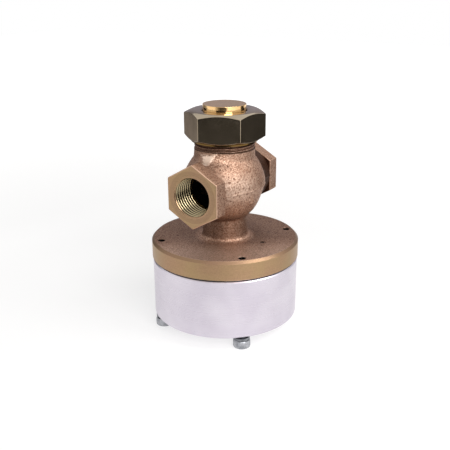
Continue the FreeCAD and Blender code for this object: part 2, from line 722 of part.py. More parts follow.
def seat_ring():
    """Seat ring with a narrow raised land for the soft facing."""
    body = new_body("seat_ring")
    outside = f"{half('seat_hole')} - Sizes.press_gap"
    inside = half("seat_bore")
    land = f"{inside} + Sizes.seat_land_width"
    shoulder = f"{SEAT_TOP} - Sizes.seat_lip / 2"
    corners = [
        (inside, f"{BRIDGE_BASE} - Sizes.seat_tail"),
        (outside, f"{BRIDGE_BASE} - Sizes.seat_tail"),
        (outside, shoulder),
        (land, SEAT_TOP),
        (inside, SEAT_TOP),
    ]
    turned(body, "seat_ring_form", corners)
    return body


def actuator_cylinder():
    """Aluminium cylinder with a closed floor, screw holes and the pilot port below."""
    body = new_body("actuator_cylinder")
    outside = CYLINDER_RADIUS
    inside = BORE_RADIUS
    edge = "Sizes.cylinder_chamfer"
    port = half("pilot_port_diameter")
    port_top = f"{CYLINDER_BASE} + Sizes.pilot_port_depth"
    passage = half("pilot_passage")
    corners = [
        (f"{port} + Sizes.pilot_port_chamfer", CYLINDER_BASE),
        (f"{outside} - {edge}", CYLINDER_BASE),
        (outside, f"{CYLINDER_BASE} + {edge}"),
        (outside, f"{CYLINDER_TOP} - {edge}"),
        (f"{outside} - {edge}", CYLINDER_TOP),
        (inside, CYLINDER_TOP),
        (inside, CYLINDER_INNER_FLOOR),
        (passage, CYLINDER_INNER_FLOOR),
        (passage, port_top),
        (port, port_top),
        (port, f"{CYLINDER_BASE} + Sizes.pilot_port_chamfer"),
    ]
    turned(body, "cylinder_form", corners)
    through = f"Sizes.cylinder_height + {BEYOND}"
    screw_hole_pattern(body, CYLINDER_TOP, "Sizes.screw_clearance_hole", through)
    return body


def bolt_place(angle):
    """Place on the bolt circle at an angle in degrees, as two expressions."""
    return f"{BOLT_RADIUS} * cos({angle} deg)", f"{BOLT_RADIUS} * sin({angle} deg)"


def screw_hole_pattern(body, top, diameter, depth):
    """Clearance holes for the clamp screws, cut down from a level."""
    sketch = new_sketch(body, "XY_Plane", body.Name + "_hole_circle", top)
    draw_circle(sketch, bolt_place(SCREW_ANGLES[0]), diameter)
    hole = body.newObject("PartDesign::Pocket", body.Name + "_first_hole")
    hole.Profile = sketch
    hole.setExpression("Length", depth)
    pattern = body.newObject("PartDesign::PolarPattern", body.Name + "_holes")
    pattern.Originals = [hole]
    pattern.Axis = (sketch, ["N_Axis"])
    pattern.Angle = 360
    pattern.Occurrences = len(SCREW_ANGLES)
    body.Tip = pattern


def joint_gasket():
    """Flat gasket between cylinder and flange, set back a little from the rim."""
    outside = f"{CYLINDER_RADIUS} - Sizes.gasket_setback"
    body = ring("joint_gasket", BORE_RADIUS, outside, CYLINDER_TOP, FLANGE_BASE)
    screw_hole_pattern(body, FLANGE_BASE, "Sizes.gasket_hole", f"Sizes.gasket_thickness + {BEYOND}")
    return body


def clamp_screw(number, angle):
    """Socket head screw that stands on its head and reaches up into the flange."""
    name = f"clamp_screw_{number}"
    body = new_body(name)
    head = half("screw_head_diameter")
    edge = "Sizes.screw_head_chamfer"
    shank = half("screw_shank_diameter")
    tip = f"{HEAD_TOP} + Sizes.screw_length"
    corners = [
        ("0", "0"),
        (f"{head} - {edge}", "0"),
        (head, edge),
        (head, f"{HEAD_TOP} - {edge}"),
        (f"{head} - {edge}", HEAD_TOP),
        (shank, HEAD_TOP),
        (shank, f"{tip} - Sizes.screw_tip_chamfer"),
        (f"{shank} - Sizes.screw_tip_chamfer", tip),
        ("0", tip),
    ]
    turned(body, name + "_form", corners)
    sketch = new_sketch(body, "XY_Plane", name + "_socket_outline")
    draw_outline(sketch, hexagon_corners("Sizes.screw_socket_width", 0))
    socket = body.newObject("PartDesign::Pocket", name + "_socket")
    socket.Profile = sketch
    socket.setExpression("Length", "Sizes.screw_socket_depth")
    socket.Reversed = True
    place_on_bolt_circle(body, angle)
    return body


def place_on_bolt_circle(body, angle):
    """Stand a body made about its own Z axis on the bolt circle."""
    across, along = bolt_place(angle)
    body.setExpression("Placement.Base.x", across)
    body.setExpression("Placement.Base.y", along)


def spring_washer(number, angle, split):
    """Split spring washer in its free helical form, on a screw head, turned to an angle."""
    name = f"spring_washer_{number}"
    body = new_body(name)
    sketch = new_sketch(body, "XZ_Plane", name + "_section")
    inside = half("washer_inside")
    outside = half("washer_outside")
    top = f"{HEAD_TOP} + Sizes.washer_thickness"
    draw_outline(sketch, [(inside, HEAD_TOP), (outside, HEAD_TOP), (outside, top), (inside, top)])
    coil = body.newObject("PartDesign::AdditiveHelix", name + "_coil")
    coil.Profile = sketch
    coil.ReferenceAxis = (sketch, ["V_Axis"])
    coil.Mode = "height-turns-angle"
    coil.setExpression("Height", "Sizes.washer_free_height - Sizes.washer_thickness")
    coil.setExpression("Turns", "Sizes.washer_turns")
    body.Placement.Rotation = FreeCAD.Rotation(FreeCAD.Vector(0, 0, 1), split)
    place_on_bolt_circle(body, angle)
    return body


def piston():
    """Piston with its nut recess, seal groove, band groove and spring seat."""
    body = new_body("piston")
    outside = f"{BORE_RADIUS} - Sizes.piston_gap"
    edge = "Sizes.piston_chamfer"
    corners = [
        (f"{half('stem_end_diameter')} + Sizes.slip_gap", PISTON_WEB),
        (half("piston_nut_recess"), PISTON_WEB),
        (half("piston_nut_recess"), PISTON_BASE),
        (f"{outside} - {edge}", PISTON_BASE),
        (outside, f"{PISTON_BASE} + {edge}"),
        (outside, f"{PISTON_TOP} - {edge}"),
        (f"{outside} - {edge}", PISTON_TOP),
        (f"{half('stem_end_diameter')} + Sizes.slip_gap", PISTON_TOP),
    ]
    turned(body, "piston_form", corners)
    play = "Sizes.ring_groove_play"
    beyond = f"{outside} + {BEYOND}"
    ring_base, ring_top = f"{RING_BASE} - {play}", f"{RING_BASE} + Sizes.ring_section + {play}"
    groove(body, "seal_groove", RING_GROOVE_FLOOR, beyond, ring_base, ring_top)
    band_base, band_top = f"{BAND_BASE} - Sizes.band_gap", f"{BAND_TOP} + Sizes.band_gap"
    groove(body, "band_groove", f"{BAND_INSIDE} - Sizes.band_gap", beyond, band_base, band_top)
    near, far = half("spring_groove_inside"), half("spring_groove_outside")
    groove(body, "spring_seat", near, far, SPRING_SEAT, f"{PISTON_TOP} + {BEYOND}")
    return body


def valve_stem():
    """Stem with a stepped end for the piston and another for the disc."""
    body = new_body("valve_stem")
    thick = half("stem_diameter")
    thin = half("stem_end_diameter")
    edge = "Sizes.stem_end_chamfer"
    corners = [
        ("0", STEM_BOTTOM),
        (f"{thin} - {edge}", STEM_BOTTOM),
        (thin, f"{STEM_BOTTOM} + {edge}"),
        (thin, PISTON_WASHER_TOP),
        (thick, PISTON_WASHER_TOP),
        (thick, STEM_SHOULDER),
        (thin, STEM_SHOULDER),
        (thin, f"{STEM_TOP} - {edge}"),
        (f"{thin} - {edge}", STEM_TOP),
        ("0", STEM_TOP),
    ]
    turned(body, "stem_form", corners)
    return body


def valve_disc():
    """Disc holder: a shallow cup, open downwards, that holds the soft facing."""
    body = new_body("valve_disc")
    inside = f"{half('stem_end_diameter')} + Sizes.slip_gap"
    outside = half("disc_diameter")
    cup = f"{half('facing_diameter')} + Sizes.slip_gap"
    edge = "Sizes.disc_edge_chamfer"
    corners = [
        (inside, DISC_BASE),
        (cup, DISC_BASE),
        (cup, f"{DISC_BASE} - Sizes.disc_lip"),
        (outside, f"{DISC_BASE} - Sizes.disc_lip"),
        (outside, f"{DISC_TOP} - {edge}"),
        (f"{outside} - {edge}", DISC_TOP),
        (inside, DISC_TOP),
    ]
    turned(body, "disc_form", corners)
    return body


def guide_bush():
    """Stem guide bush with a collar that locates it in the gland."""
    body = new_body("guide_bush")
    inside = f"{half('stem_diameter')} + Sizes.running_gap"
    collar = f"{half('gland_diameter')} - Sizes.gland_gap"
    corners = [
        (inside, GUIDE_COLLAR_BASE),
        (collar, GUIDE_COLLAR_BASE),
        (collar, GLAND_TOP),
        (half("guide_diameter"), GLAND_TOP),
        (half("guide_diameter"), CHAMBER_FLOOR),
        (inside, CHAMBER_FLOOR),
    ]
    turned(body, "bush_form", corners)
    return body


def circlip():
    """Internal circlip that holds the gland parts, open at one side."""
    outside = f"{half('circlip_groove_diameter')} - Sizes.circlip_groove_gap"
    body = ring("circlip", half("circlip_inside"), outside, CIRCLIP_BASE, RETAINER_BASE)
    sketch = new_sketch(body, "XY_Plane", "circlip_opening_outline", f"{CIRCLIP_BASE} - {BEYOND}")
    width = half("circlip_opening")
    reach = half("circlip_groove_diameter")
    draw_outline(sketch, [("0", f"-{width}"), (reach, f"-{width}"), (reach, width), ("0", width)])
    opening = body.newObject("PartDesign::Pocket", "circlip_opening_cut")
    opening.Profile = sketch
    opening.setExpression("Length", f"Sizes.circlip_thickness + 2 * {BEYOND}")
    opening.Reversed = True
    return body


def top_plug():
    """Plug with a collar on the neck, a boss in its bore and a spring pocket below."""
    body = new_body("top_plug")
    boss = f"{NECK_BORE_RADIUS} - Sizes.plug_boss_gap"
    corners = [
        ("0", PLUG_POCKET_TOP),
        (half("plug_pocket_diameter"), PLUG_POCKET_TOP),
        (half("plug_pocket_diameter"), PLUG_BOSS_BASE),
        (boss, PLUG_BOSS_BASE),
        (boss, PLUG_COLLAR_BASE),
        (PLUG_COLLAR_RADIUS, PLUG_COLLAR_BASE),
        (PLUG_COLLAR_RADIUS, PLUG_COLLAR_TOP),
        (half("plug_diameter"), PLUG_COLLAR_TOP),
        (half("plug_diameter"), f"{PLUG_TOP} - Sizes.plug_edge_round", "Sizes.plug_edge_round", 1),
        (f"{half('plug_diameter')} - Sizes.plug_edge_round", PLUG_TOP),
        ("0", PLUG_TOP),
    ]
    turned(body, "plug_form", corners)
    return body


def union_nut():
    """Hexagon union nut, chamfered at both ends, with an inner lip over the thrust ring."""
    body = new_body("union_nut")
    sketch = new_sketch(body, "XY_Plane", "nut_hexagon", NUT_BASE)
    draw_outline(sketch, hexagon_corners("Sizes.nut_width", NUT_TURN))
    pad(body, "nut_blank", sketch, "Sizes.nut_height")
    face = half("nut_face_diameter")
    reach = f"{half('nut_width')} / cos(30 deg)"
    skirt = f"{NUT_BASE} + Sizes.nut_skirt_lip"
    chamfer_ends(body, "nut", reach, face, "Sizes.nut_chamfer_height", skirt, NUT_TOP)
    thread = NUT_THREAD_RADIUS
    hole = f"{half('plug_diameter')} + Sizes.nut_hole_gap"
    mouth = "Sizes.nut_mouth_chamfer"
    edge = "Sizes.nut_hole_chamfer"
    bore = [
        ("0", f"{NUT_BASE} - {BEYOND}"),
        (f"{thread} + {mouth} + {BEYOND}", f"{NUT_BASE} - {BEYOND}"),
        (thread, f"{NUT_BASE} + {mouth}"),
        (thread, THRUST_RING_TOP),
        (hole, THRUST_RING_TOP),
        (hole, f"{NUT_TOP} - {edge}"),
        (f"{hole} + {edge} + {BEYOND}", f"{NUT_TOP} + {BEYOND}"),
        ("0", f"{NUT_TOP} + {BEYOND}"),
    ]
    turned(body, "nut_bore", bore, cut=True)
    return body


sub_parts = [
    valve_body(),
    seat_ring(),
    guide_bush(),
    seal_ring("upper_stem_seal", SEAL_INSIDE, "Sizes.seal_section", f"{UPPER_SEAL_BASE} + Sizes.gland_gap"),
    ring("seal_spacer", SPACER_INSIDE, GLAND_FIT, SPACER_BASE, UPPER_SEAL_BASE),
    seal_ring("lower_stem_seal", SEAL_INSIDE, "Sizes.seal_section", f"{LOWER_SEAL_BASE} + Sizes.gland_gap"),
    ring("seal_retainer", SPACER_INSIDE, GLAND_FIT, RETAINER_BASE, LOWER_SEAL_BASE),
    circlip(),
    actuator_cylinder(),
    joint_gasket(),
    ring("plug_gasket", PLUG_GASKET_INSIDE, PLUG_COLLAR_RADIUS, NECK_TOP, PLUG_COLLAR_BASE),
    top_plug(),
    ring("thrust_ring", PLUG_FIT, PLUG_COLLAR_RADIUS, PLUG_COLLAR_TOP, THRUST_RING_TOP),
    union_nut(),
    valve_stem(),
    valve_disc(),
    ring("disc_facing", STEM_END_FIT, half("facing_diameter"), SEAT_TOP, DISC_BASE),
    ring("facing_washer", STEM_END_FIT, half("facing_washer_diameter"), STEM_SHOULDER, SEAT_TOP),
    hex_nut("disc_nut", DISC_TOP, STEM_END_FIT, 0),
    piston(),
    seal_ring("piston_ring", RING_INSIDE, "Sizes.ring_section", RING_BASE),
    ring("piston_guide_band", BAND_INSIDE, f"{BAND_INSIDE} + Sizes.band_thickness", BAND_BASE, BAND_TOP),
    ring("piston_washer", STEM_END_FIT, half("piston_washer_diameter"), PISTON_TOP, PISTON_WASHER_TOP),
    hex_nut("piston_nut", PISTON_NUT_BASE, STEM_END_FIT, 0),
    ring("stop_sleeve", STEM_SLIP_FIT, half("stop_sleeve_diameter"), PISTON_WASHER_TOP, STOP_SLEEVE_TOP),
    coil_spring("return_spring", SPRING_SEAT, FLANGE_BASE),
    coil_spring("closing_spring", DISC_TOP, PLUG_POCKET_TOP),
]
for number, (angle, split) in enumerate(zip(SCREW_ANGLES, WASHER_SPLITS), start=1):
    sub_parts.append(clamp_screw(number, angle))
    sub_parts.append(spring_washer(number, angle, split))

doc.recompute()
for item in doc.Objects:
    if "Invalid" in item.State or "Error" in item.State:
        raise RuntimeError(f"{item.Label} did not build: {item.State}")
for item in sub_parts:
    if item.Shape.isNull() or not item.Shape.isValid() or item.Shape.Volume <= 0:
        raise RuntimeError(f"{item.Label} has no valid shape")

os.makedirs("parts", exist_ok=True)
for item in sub_parts:
    item.Shape.exportStep(f"parts/{item.Label}.step")
    print(f"{item.Label}: {len(item.Shape.Solids)} solid, {item.Shape.Volume:.1f} cubic mm")
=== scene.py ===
"""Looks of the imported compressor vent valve: camera, light, finishes and the fine pieces of each assembly.

Lengths are millimetres in the valve's own frame until a mesh is written, which is in metres.
"""

import logging
from collections.abc import Callable
from dataclasses import dataclass, field
from enum import Enum
from functools import partial, reduce
from math import cos, radians, sin
from typing import Any

import bmesh
import bpy
import numpy as np
from mathutils import Matrix, Vector


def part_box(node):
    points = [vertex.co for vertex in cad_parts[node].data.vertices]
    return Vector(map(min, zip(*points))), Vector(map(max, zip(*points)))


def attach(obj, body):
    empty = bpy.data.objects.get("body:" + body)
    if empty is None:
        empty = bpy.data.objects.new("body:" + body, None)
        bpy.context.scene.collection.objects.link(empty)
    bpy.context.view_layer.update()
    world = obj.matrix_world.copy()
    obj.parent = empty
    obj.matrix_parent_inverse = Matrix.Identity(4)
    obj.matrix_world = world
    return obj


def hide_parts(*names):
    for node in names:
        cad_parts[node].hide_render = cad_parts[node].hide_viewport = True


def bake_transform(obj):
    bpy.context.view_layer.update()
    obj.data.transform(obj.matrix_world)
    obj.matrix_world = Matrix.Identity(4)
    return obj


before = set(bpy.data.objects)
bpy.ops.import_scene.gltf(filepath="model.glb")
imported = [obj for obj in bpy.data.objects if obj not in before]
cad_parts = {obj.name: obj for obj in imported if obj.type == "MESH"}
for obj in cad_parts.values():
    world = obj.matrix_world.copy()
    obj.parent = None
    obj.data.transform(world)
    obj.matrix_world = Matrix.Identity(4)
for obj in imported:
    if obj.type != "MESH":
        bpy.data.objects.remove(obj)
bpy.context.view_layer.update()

LOG = logging.getLogger("vent_valve")
MM = 0.001
FULL_TURN = 2 * np.pi
# Height of the axis of both ports
PORT_AXIS = 74.6
# Circle on which the clamp screws and their tapped holes stand
BOLT_RADIUS = 33.0
# Sine and cosine of the 31 degrees east of south from which the valve is seen, along which the painted light
# and shade on the flange and belly are laid out
LIT_FRONT = (0.516, 0.857)
# Corners of the flat that a grinder left under the nut, as x and z
PAD_CORNERS = ((2.0, 86.6), (-3.3, 91.5), (3.9, 92.4))

Array = np.ndarray
Socket = bpy.types.NodeSocket
# Measures between which a share changes, and the shares at them where they aren't nought and one
Limits = tuple[float, ...]


def linear(colour: str) -> tuple[float, float, float, float]:
    """Turn an sRGB hex colour into the linear one that a shader takes.

    Args:
        colour: Six hex digits after a hash sign.

    Returns:
        Red, green, blue and an opaque alpha.
    """
    shares = [int(colour[place : place + 2], 16) / 255 for place in (1, 3, 5)]
    red, green, blue = (s / 12.92 if s <= 0.04045 else ((s + 0.055) / 1.055) ** 2.4 for s in shares)
    return red, green, blue, 1.0


def feed(node: bpy.types.Node, values: dict[str | int, Any]) -> None:
    """Link or set a node's inputs.

    Args:
        node: The node that takes them.
        values: A socket to link or a value to set, by input name or number.
    """
    for name, value in values.items():
        if isinstance(value, Socket):
            node.id_data.links.new(value, node.inputs[name])
        else:
            node.inputs[name].default_value = value


def add_node(tree: bpy.types.NodeTree, kind: str, *inputs: Any, **named: Any) -> Socket:
    """Add one shader node with its settings and links.

    Args:
        tree: The node tree that gets it.
        kind: Blender's name of the node's type, after the word that all of them start with.
        inputs: What its first inputs take, in order.
        named: Its own properties, in small letters, and what its inputs of those names take.

    Returns:
        The first output that it offers. The others are found through its node.
    """
    node = tree.nodes.new("ShaderNode" + kind)
    for name in filter(str.islower, named):
        setattr(node, name, named[name])
    by_name = {name: value for name, value in named.items() if not name.islower()}
    feed(node, dict(enumerate(inputs)) | by_name)
    return next(output for output in node.outputs if output.enabled)


def eased(share: Array) -> Array:
    """Smooth step of a share t from nought to one: 3t^2 - 2t^3."""
    return share * share * (3 - 2 * share)


def smooth_least(first: Array | float, second: Array | float, reach: Array | float) -> Array:
    """Take the lesser of two values, rounded where they cross.

    The formula is min(a, b) - h^2 / (4k), with h = max(k - |a - b|, 0).

    Args:
        first: The value a.
        second: The value b.
        reach: The difference k within which they are rounded.

    Returns:
        The rounded lesser value.
    """
    near = np.maximum(reach - np.abs(first - second), 0)
    return np.minimum(first, second) - near**2 / (4 * reach)


def grid_faces(rows: int, columns: int, ring_rows: bool, ring_columns: bool) -> Array:
    """Number the four corners of every cell of a grid.

    The corner at row i and column j has number i * columns + j. A ring's last line is joined to its first.

    Args:
        rows: Points along the first direction.
        columns: Points along the second direction.
        ring_rows: Whether the last row meets the first.
        ring_columns: Whether the last column meets the first.

    Returns:
        One row of four corner numbers for each cell.
    """
    row, column = np.meshgrid(
        np.arange(rows if ring_rows else rows - 1),
        np.arange(columns if ring_columns else columns - 1),
        indexing="ij",
    )
    below, above = row * columns, (row + 1) % rows * columns
    beside = (column + 1) % columns
    return np.stack([below + column, below + beside, above + beside, above + column], axis=-1).reshape(-1, 4)


def turned_points(
    radius: Array, level: Array, turn: Array, middle: tuple[float, float] = (0.0, 0.0)
) -> Array:
    """Carry an outline round an upright axis: x = radius cos(turn), y = radius sin(turn), z = level.

    Args:
        radius: Distance from the axis, by row or by row and angle.
        level: Height, by row or by row and angle.
        turn: Angles in radians.
        middle: Where the axis stands, as x and y.

    Returns:
        Places in mm, on a grid of rows and angles.
    """
    east, north = middle[0] + radius * np.cos(turn), middle[1] + radius * np.sin(turn)
    return np.stack(np.broadcast_arrays(east, north, level), axis=-1)


def bolt_place(number: int) -> tuple[float, float]:
    """Middle of one clamp screw as x and y, numbered round from the first quarter."""
    angle = radians(45 + 90 * (number - 1))
    return BOLT_RADIUS * cos(angle), BOLT_RADIUS * sin(angle)


def lattice_noise(points: Array, cell: float, seed: int) -> Array:
    """Smooth noise: random values at the corners of a cube lattice, blended by an eased share.

    Args:
        points: Places in mm, with x, y and z last.
        cell: Edge of the lattice's cubes in mm.
        seed: Number that fixes the random values.

    Returns:
        A value from -1 to 1 at each place.
    """
    period = 61
    values = np.random.default_rng(seed).uniform(-1, 1, (period, period, period))
    scaled = points / cell
    corner = np.floor(scaled).astype(int)
    share = eased(scaled - corner)
    total = np.zeros(points.shape[:-1])
    for step in np.ndindex(2, 2, 2):
        weight = np.prod(np.where(step, share, 1 - share), axis=-1)
        place = (corner + step) % period
        total += weight * values[place[..., 0], place[..., 1], place[..., 2]]
    return total


def bump_at(points: Array, centre: tuple[float, float, float], width: float) -> Array:
    """Round mound of height one: exp(-(distance / width)^2) about a centre, in mm."""
    return np.exp(-np.sum((points - np.array(centre)) ** 2, axis=-1) / width**2)


def arc_points(
    start: tuple[float, float], end: tuple[float, float], radius: float, side: int, count: int = 24
) -> Array:
    """Points of a circular arc between two points of an upright outline.

    The centre stands off the chord's middle by the root of radius^2 - (chord / 2)^2.

    Args:
        start: Radius and height of the lower end.
        end: Radius and height of the upper end.
        radius: Radius of the arc in mm.
        side: 1 to bulge away from the axis, -1 to bulge towards it.
        count: Number of points.

    Returns:
        Rows of radius and height.
    """
    first, last = np.array(start), np.array(end)
    chord = last - first
    length = np.hypot(*chord)
    outward = np.array([chord[1], -chord[0]]) / length
    centre = (first + last) / 2 - side * outward * np.sqrt(radius**2 - length**2 / 4)
    half = np.arcsin(length / 2 / radius)
    turn = np.linspace(-half, half, count)
    along, across = chord / length, side * outward
    return centre + radius * (np.outer(np.sin(turn), along) + np.outer(np.cos(turn), across))


class Body(Enum):
    """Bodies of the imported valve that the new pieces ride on."""

    HOUSING = "housing"
    STEM_GROUP = "stem_group"
    NUT = "nut"


def make_piece(
    name: str,
    points: Array,
    faces: Array,
    body: Body,
    material: bpy.types.Material,
    replaced: tuple[str, ...] = (),
    crease: float = 32.0,
    head: Body | None = None,
) -> None:
    """Write a surface into a mesh object, with its place in its mesh, and let it ride on its body unless a
    head is given.

    Args:
        name: Name of the piece.
        points: Corner places in mm.
        faces: Four corner numbers for each face.
        body: The body that carries it, when no head is given.
        material: Its finish.
        replaced: CAD nodes that it stands for.
        crease: Angle in degrees above which an edge stays sharp.
        head: When given, the piece is baked in place and rides on neither body.
    """
    mesh = bpy.data.meshes.new(name)
    mesh.from_pydata(points.reshape(-1, 3) * MM, [], faces)
    work = bmesh.new()
    work.from_mesh(mesh)
    bmesh.ops.remove_doubles(work, verts=work.verts, dist=2e-7)
    bmesh.ops.recalc_face_normals(work, faces=work.faces)
    work.to_mesh(mesh)
    work.free()
    mesh.shade_smooth()
    mesh.set_sharp_from_angle(angle=radians(crease))
    mesh.materials.append(material)
    piece = bpy.data.objects.new(name, mesh)
    bpy.context.scene.collection.objects.link(piece)
    if head is None:
        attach(piece, body.value)
    else:
        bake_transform(piece)
    if replaced:
        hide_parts(*replaced)
    LOG.info("%s: %d faces on %s", name, len(mesh.polygons), body.value)


@dataclass(frozen=True)
class Grain:
    """The means to add a material's nodes, and its shared measures of a point of the surface, in mm.

    East is x, north is y and across is y without its sign. Forward is the distance in front of the valve's
    axis, towards the side from which it is seen, which the painted light and shade follow. Off middle and off
    port are x and the height from the port axis, without their signs.
    """

    add: Callable[..., Socket]
    place: Socket
    east: Socket
    north: Socket
    height: Socket
    across: Socket
    forward: Socket
    off_middle: Socket
    off_port: Socket
    axis_distance: Socket
    port_distance: Socket

    @classmethod
    def start(cls, tree: bpy.types.NodeTree) -> "Grain":
        """Add the nodes that measure where a point of the surface lies.

        Args:
            tree: The material's node tree.

        Returns:
            The measures.
        """
        add = partial(add_node, tree)
        place = add("VectorMath", add("TexCoord").node.outputs["Object"], Scale=1 / MM, operation="SCALE")
        east, north, height = add("SeparateXYZ", place).node.outputs
        lift = add("Math", height, PORT_AXIS, operation="SUBTRACT")
        eastward = add("Math", east, LIT_FRONT[0], operation="MULTIPLY")
        northward = add("Math", north, LIT_FRONT[1], operation="MULTIPLY")
        return cls(
            add=add,
            place=place,
            east=east,
            north=north,
            height=height,
            across=add("Math", north, operation="ABSOLUTE"),
            forward=add("Math", eastward, northward, operation="SUBTRACT"),
            off_middle=add("Math", east, operation="ABSOLUTE"),
            off_port=add("Math", lift, operation="ABSOLUTE"),
            axis_distance=add("VectorMath", add("CombineXYZ", east, north), operation="LENGTH"),
            port_distance=add("VectorMath", add("CombineXYZ", east, lift), operation="LENGTH"),
        )

    def region(self, *limits: tuple[Socket, Limits]) -> Socket:
        """Share of a region: the product of the shares that some measures have between their limits.

        Args:
            limits: Each measure with its limits.

        Returns:
            The share.
        """
        shares = (self.add("MapRange", measure, *between) for measure, between in limits)
        return reduce(partial(self.add, "Math", operation="MULTIPLY"), shares)

    def coats(self, base: Socket | str, *over: tuple[Socket, Socket | str]) -> Socket:
        """Lay colours over each other, each by its share.

        Args:
            base: The lowest colour, as a socket or sRGB hex.
            over: Share and colour of each coat, from the lowest up.

        Returns:
            The colour.
        """
        seen = base if isinstance(base, Socket) else linear(base)
        for share, colour in over:
            coat = colour if isinstance(colour, Socket) else linear(colour)
            seen = self.add("Mix", share, A=seen, B=coat, data_type="RGBA")
        return seen


def new_material(name: str) -> tuple[bpy.types.Material, bpy.types.Node]:
    """Start a node material.

    Args:
        name: The finish's name.

    Returns:
        The material and its surface shader.
    """
    material = bpy.data.materials.new(name)
    material.use_nodes = True
    return material, material.node_tree.nodes["Principled BSDF"]


@dataclass(frozen=True)
class TurnedMetal:
    """Metal cut on a lathe: fine rings about the axis catch the light in streaks.

    Real feed marks are nearer 0.1 mm apart, and are drawn as coarse as they need to show.
    """

    name: str
    light: str
    dark: str
    roughness: float
    ring_mm: float = 0.35
    ring_depth: float = 0.004
    cloud_mm: float = 9.0
    cloud_fade: Limits = (0.35, 0.65)
    ring_fade: Limits = (0.3, 0.7)

    def make(self) -> bpy.types.Material:
        """Build the material: a metal with ring marks, and broad clouds of slightly duller surface.

        Returns:
            The material.
        """
        material, surface = new_material(self.name)
        grain = Grain.start(material.node_tree)
        add = grain.add
        profile = add("CombineXYZ", grain.axis_distance, grain.height)
        rings = add("TexNoise", profile, Scale=1 / self.ring_mm, Detail=3.0)
        clouds = add("MapRange", add("TexNoise", grain.place, Scale=1 / self.cloud_mm), *self.cloud_fade)
        smooth, coarse = self.roughness * 0.8, self.roughness * 1.25
        values = {
            "Base Color": grain.coats(self.light, (clouds, self.dark)),
            "Roughness": add("MapRange", rings, *self.ring_fade, smooth, coarse),
            "Normal": add("Bump", Height=rings, Distance=self.ring_depth * MM, Strength=1.0),
            "Metallic": 1.0,
        }
        feed(surface, values)
        return material


@dataclass(frozen=True)
class MilledBrass:
    """Brass bar with milled flats: a soft sheen that picks up its surroundings, and painted shade on the
    lower chamfer.
    """

    name: str
    light: str
    dark: str
    # Brown of the painted shade on the downward-facing lower chamfer
    under: str
    roughness: float
    chamfer_start: float = 97.25
    chamfer_radius: float = 16.5
    chamfer_slope: float = 2.08
    streak_mm: float = 0.9
    streak_stretch: tuple[float, float, float] = (1.0, 1.0, 0.06)
    streak_depth: float = 0.003
    streak_fade: Limits = (0.3, 0.7)
    cloud_mm: float = 12.0
    cloud_fade: Limits = (0.35, 0.65)
    on_cone: Limits = (-0.25, -0.1)
    lower_half: Limits = (100.5, 99.5)

    def lower_chamfer(self, grain: Grain) -> Socket:
        """Mark the lower chamfer: where distance from axis - radius nears slope * (height - start).

        Args:
            grain: Measures of the surface.

        Returns:
            One on the chamfer and nought off it.
        """
        add = grain.add
        climb = add("Math", grain.height, self.chamfer_start, operation="SUBTRACT")
        climb = add("Math", climb, self.chamfer_slope, operation="MULTIPLY")
        cone = add("Math", grain.axis_distance, self.chamfer_radius, operation="SUBTRACT")
        cone = add("Math", cone, climb, operation="SUBTRACT")
        return grain.region((cone, self.on_cone), (grain.height, self.lower_half))

    def make(self) -> bpy.types.Material:
        """Build the material: cutter streaks up the flats, and painted shade in brown on the lower chamfer's
        cone.

        Returns:
            The material.
        """
        material, surface = new_material(self.name)
        grain = Grain.start(material.node_tree)
        add = grain.add
        stretched = add("VectorMath", grain.place, self.streak_stretch, operation="MULTIPLY")
        streaks = add("TexNoise", stretched, Scale=1 / self.streak_mm, Detail=3.0)
        clouds = add("MapRange", add("TexNoise", grain.place, Scale=1 / self.cloud_mm), *self.cloud_fade)
        # Painted shade on the lower chamfer, which faces down
        low = self.lower_chamfer(grain)
        smooth, coarse = self.roughness * 0.8, self.roughness * 1.3
        values = {
            "Base Color": grain.coats(self.light, (clouds, self.dark), (low, self.under)),
            "Roughness": add("MapRange", streaks, *self.streak_fade, smooth, coarse),
            "Normal": add("Bump", Height=streaks, Distance=self.streak_depth * MM, Strength=1.0),
            "Metallic": 1.0,
        }
        feed(surface, values)
        return material


@dataclass(frozen=True)
class SoftSheet:
    """Rubber, plastic or fibre sheet: matt, with a fine even mottle and a trace of dust."""

    name: str
    light: str
    dark: str
    roughness: float
    grain_mm: float = 0.4
    grain_depth: float = 0.02
    mottle_fade: Limits = (0.3, 0.7)

    def make(self) -> bpy.types.Material:
        """Build the material: a dull surface mottled between two close colours.

        Returns:
            The material.
        """
        material, surface = new_material(self.name)
        grain = Grain.start(material.node_tree)
        add = grain.add
        mottle = add("TexNoise", grain.place, Scale=1 / self.grain_mm, Detail=4.0)
        share = add("MapRange", mottle, *self.mottle_fade)
        values = {
            "Base Color": grain.coats(self.dark, (share, self.light)),
            "Roughness": self.roughness,
            "Normal": add("Bump", Height=mottle, Distance=self.grain_depth * MM, Strength=1.0),
        }
        feed(surface, values)
        return material


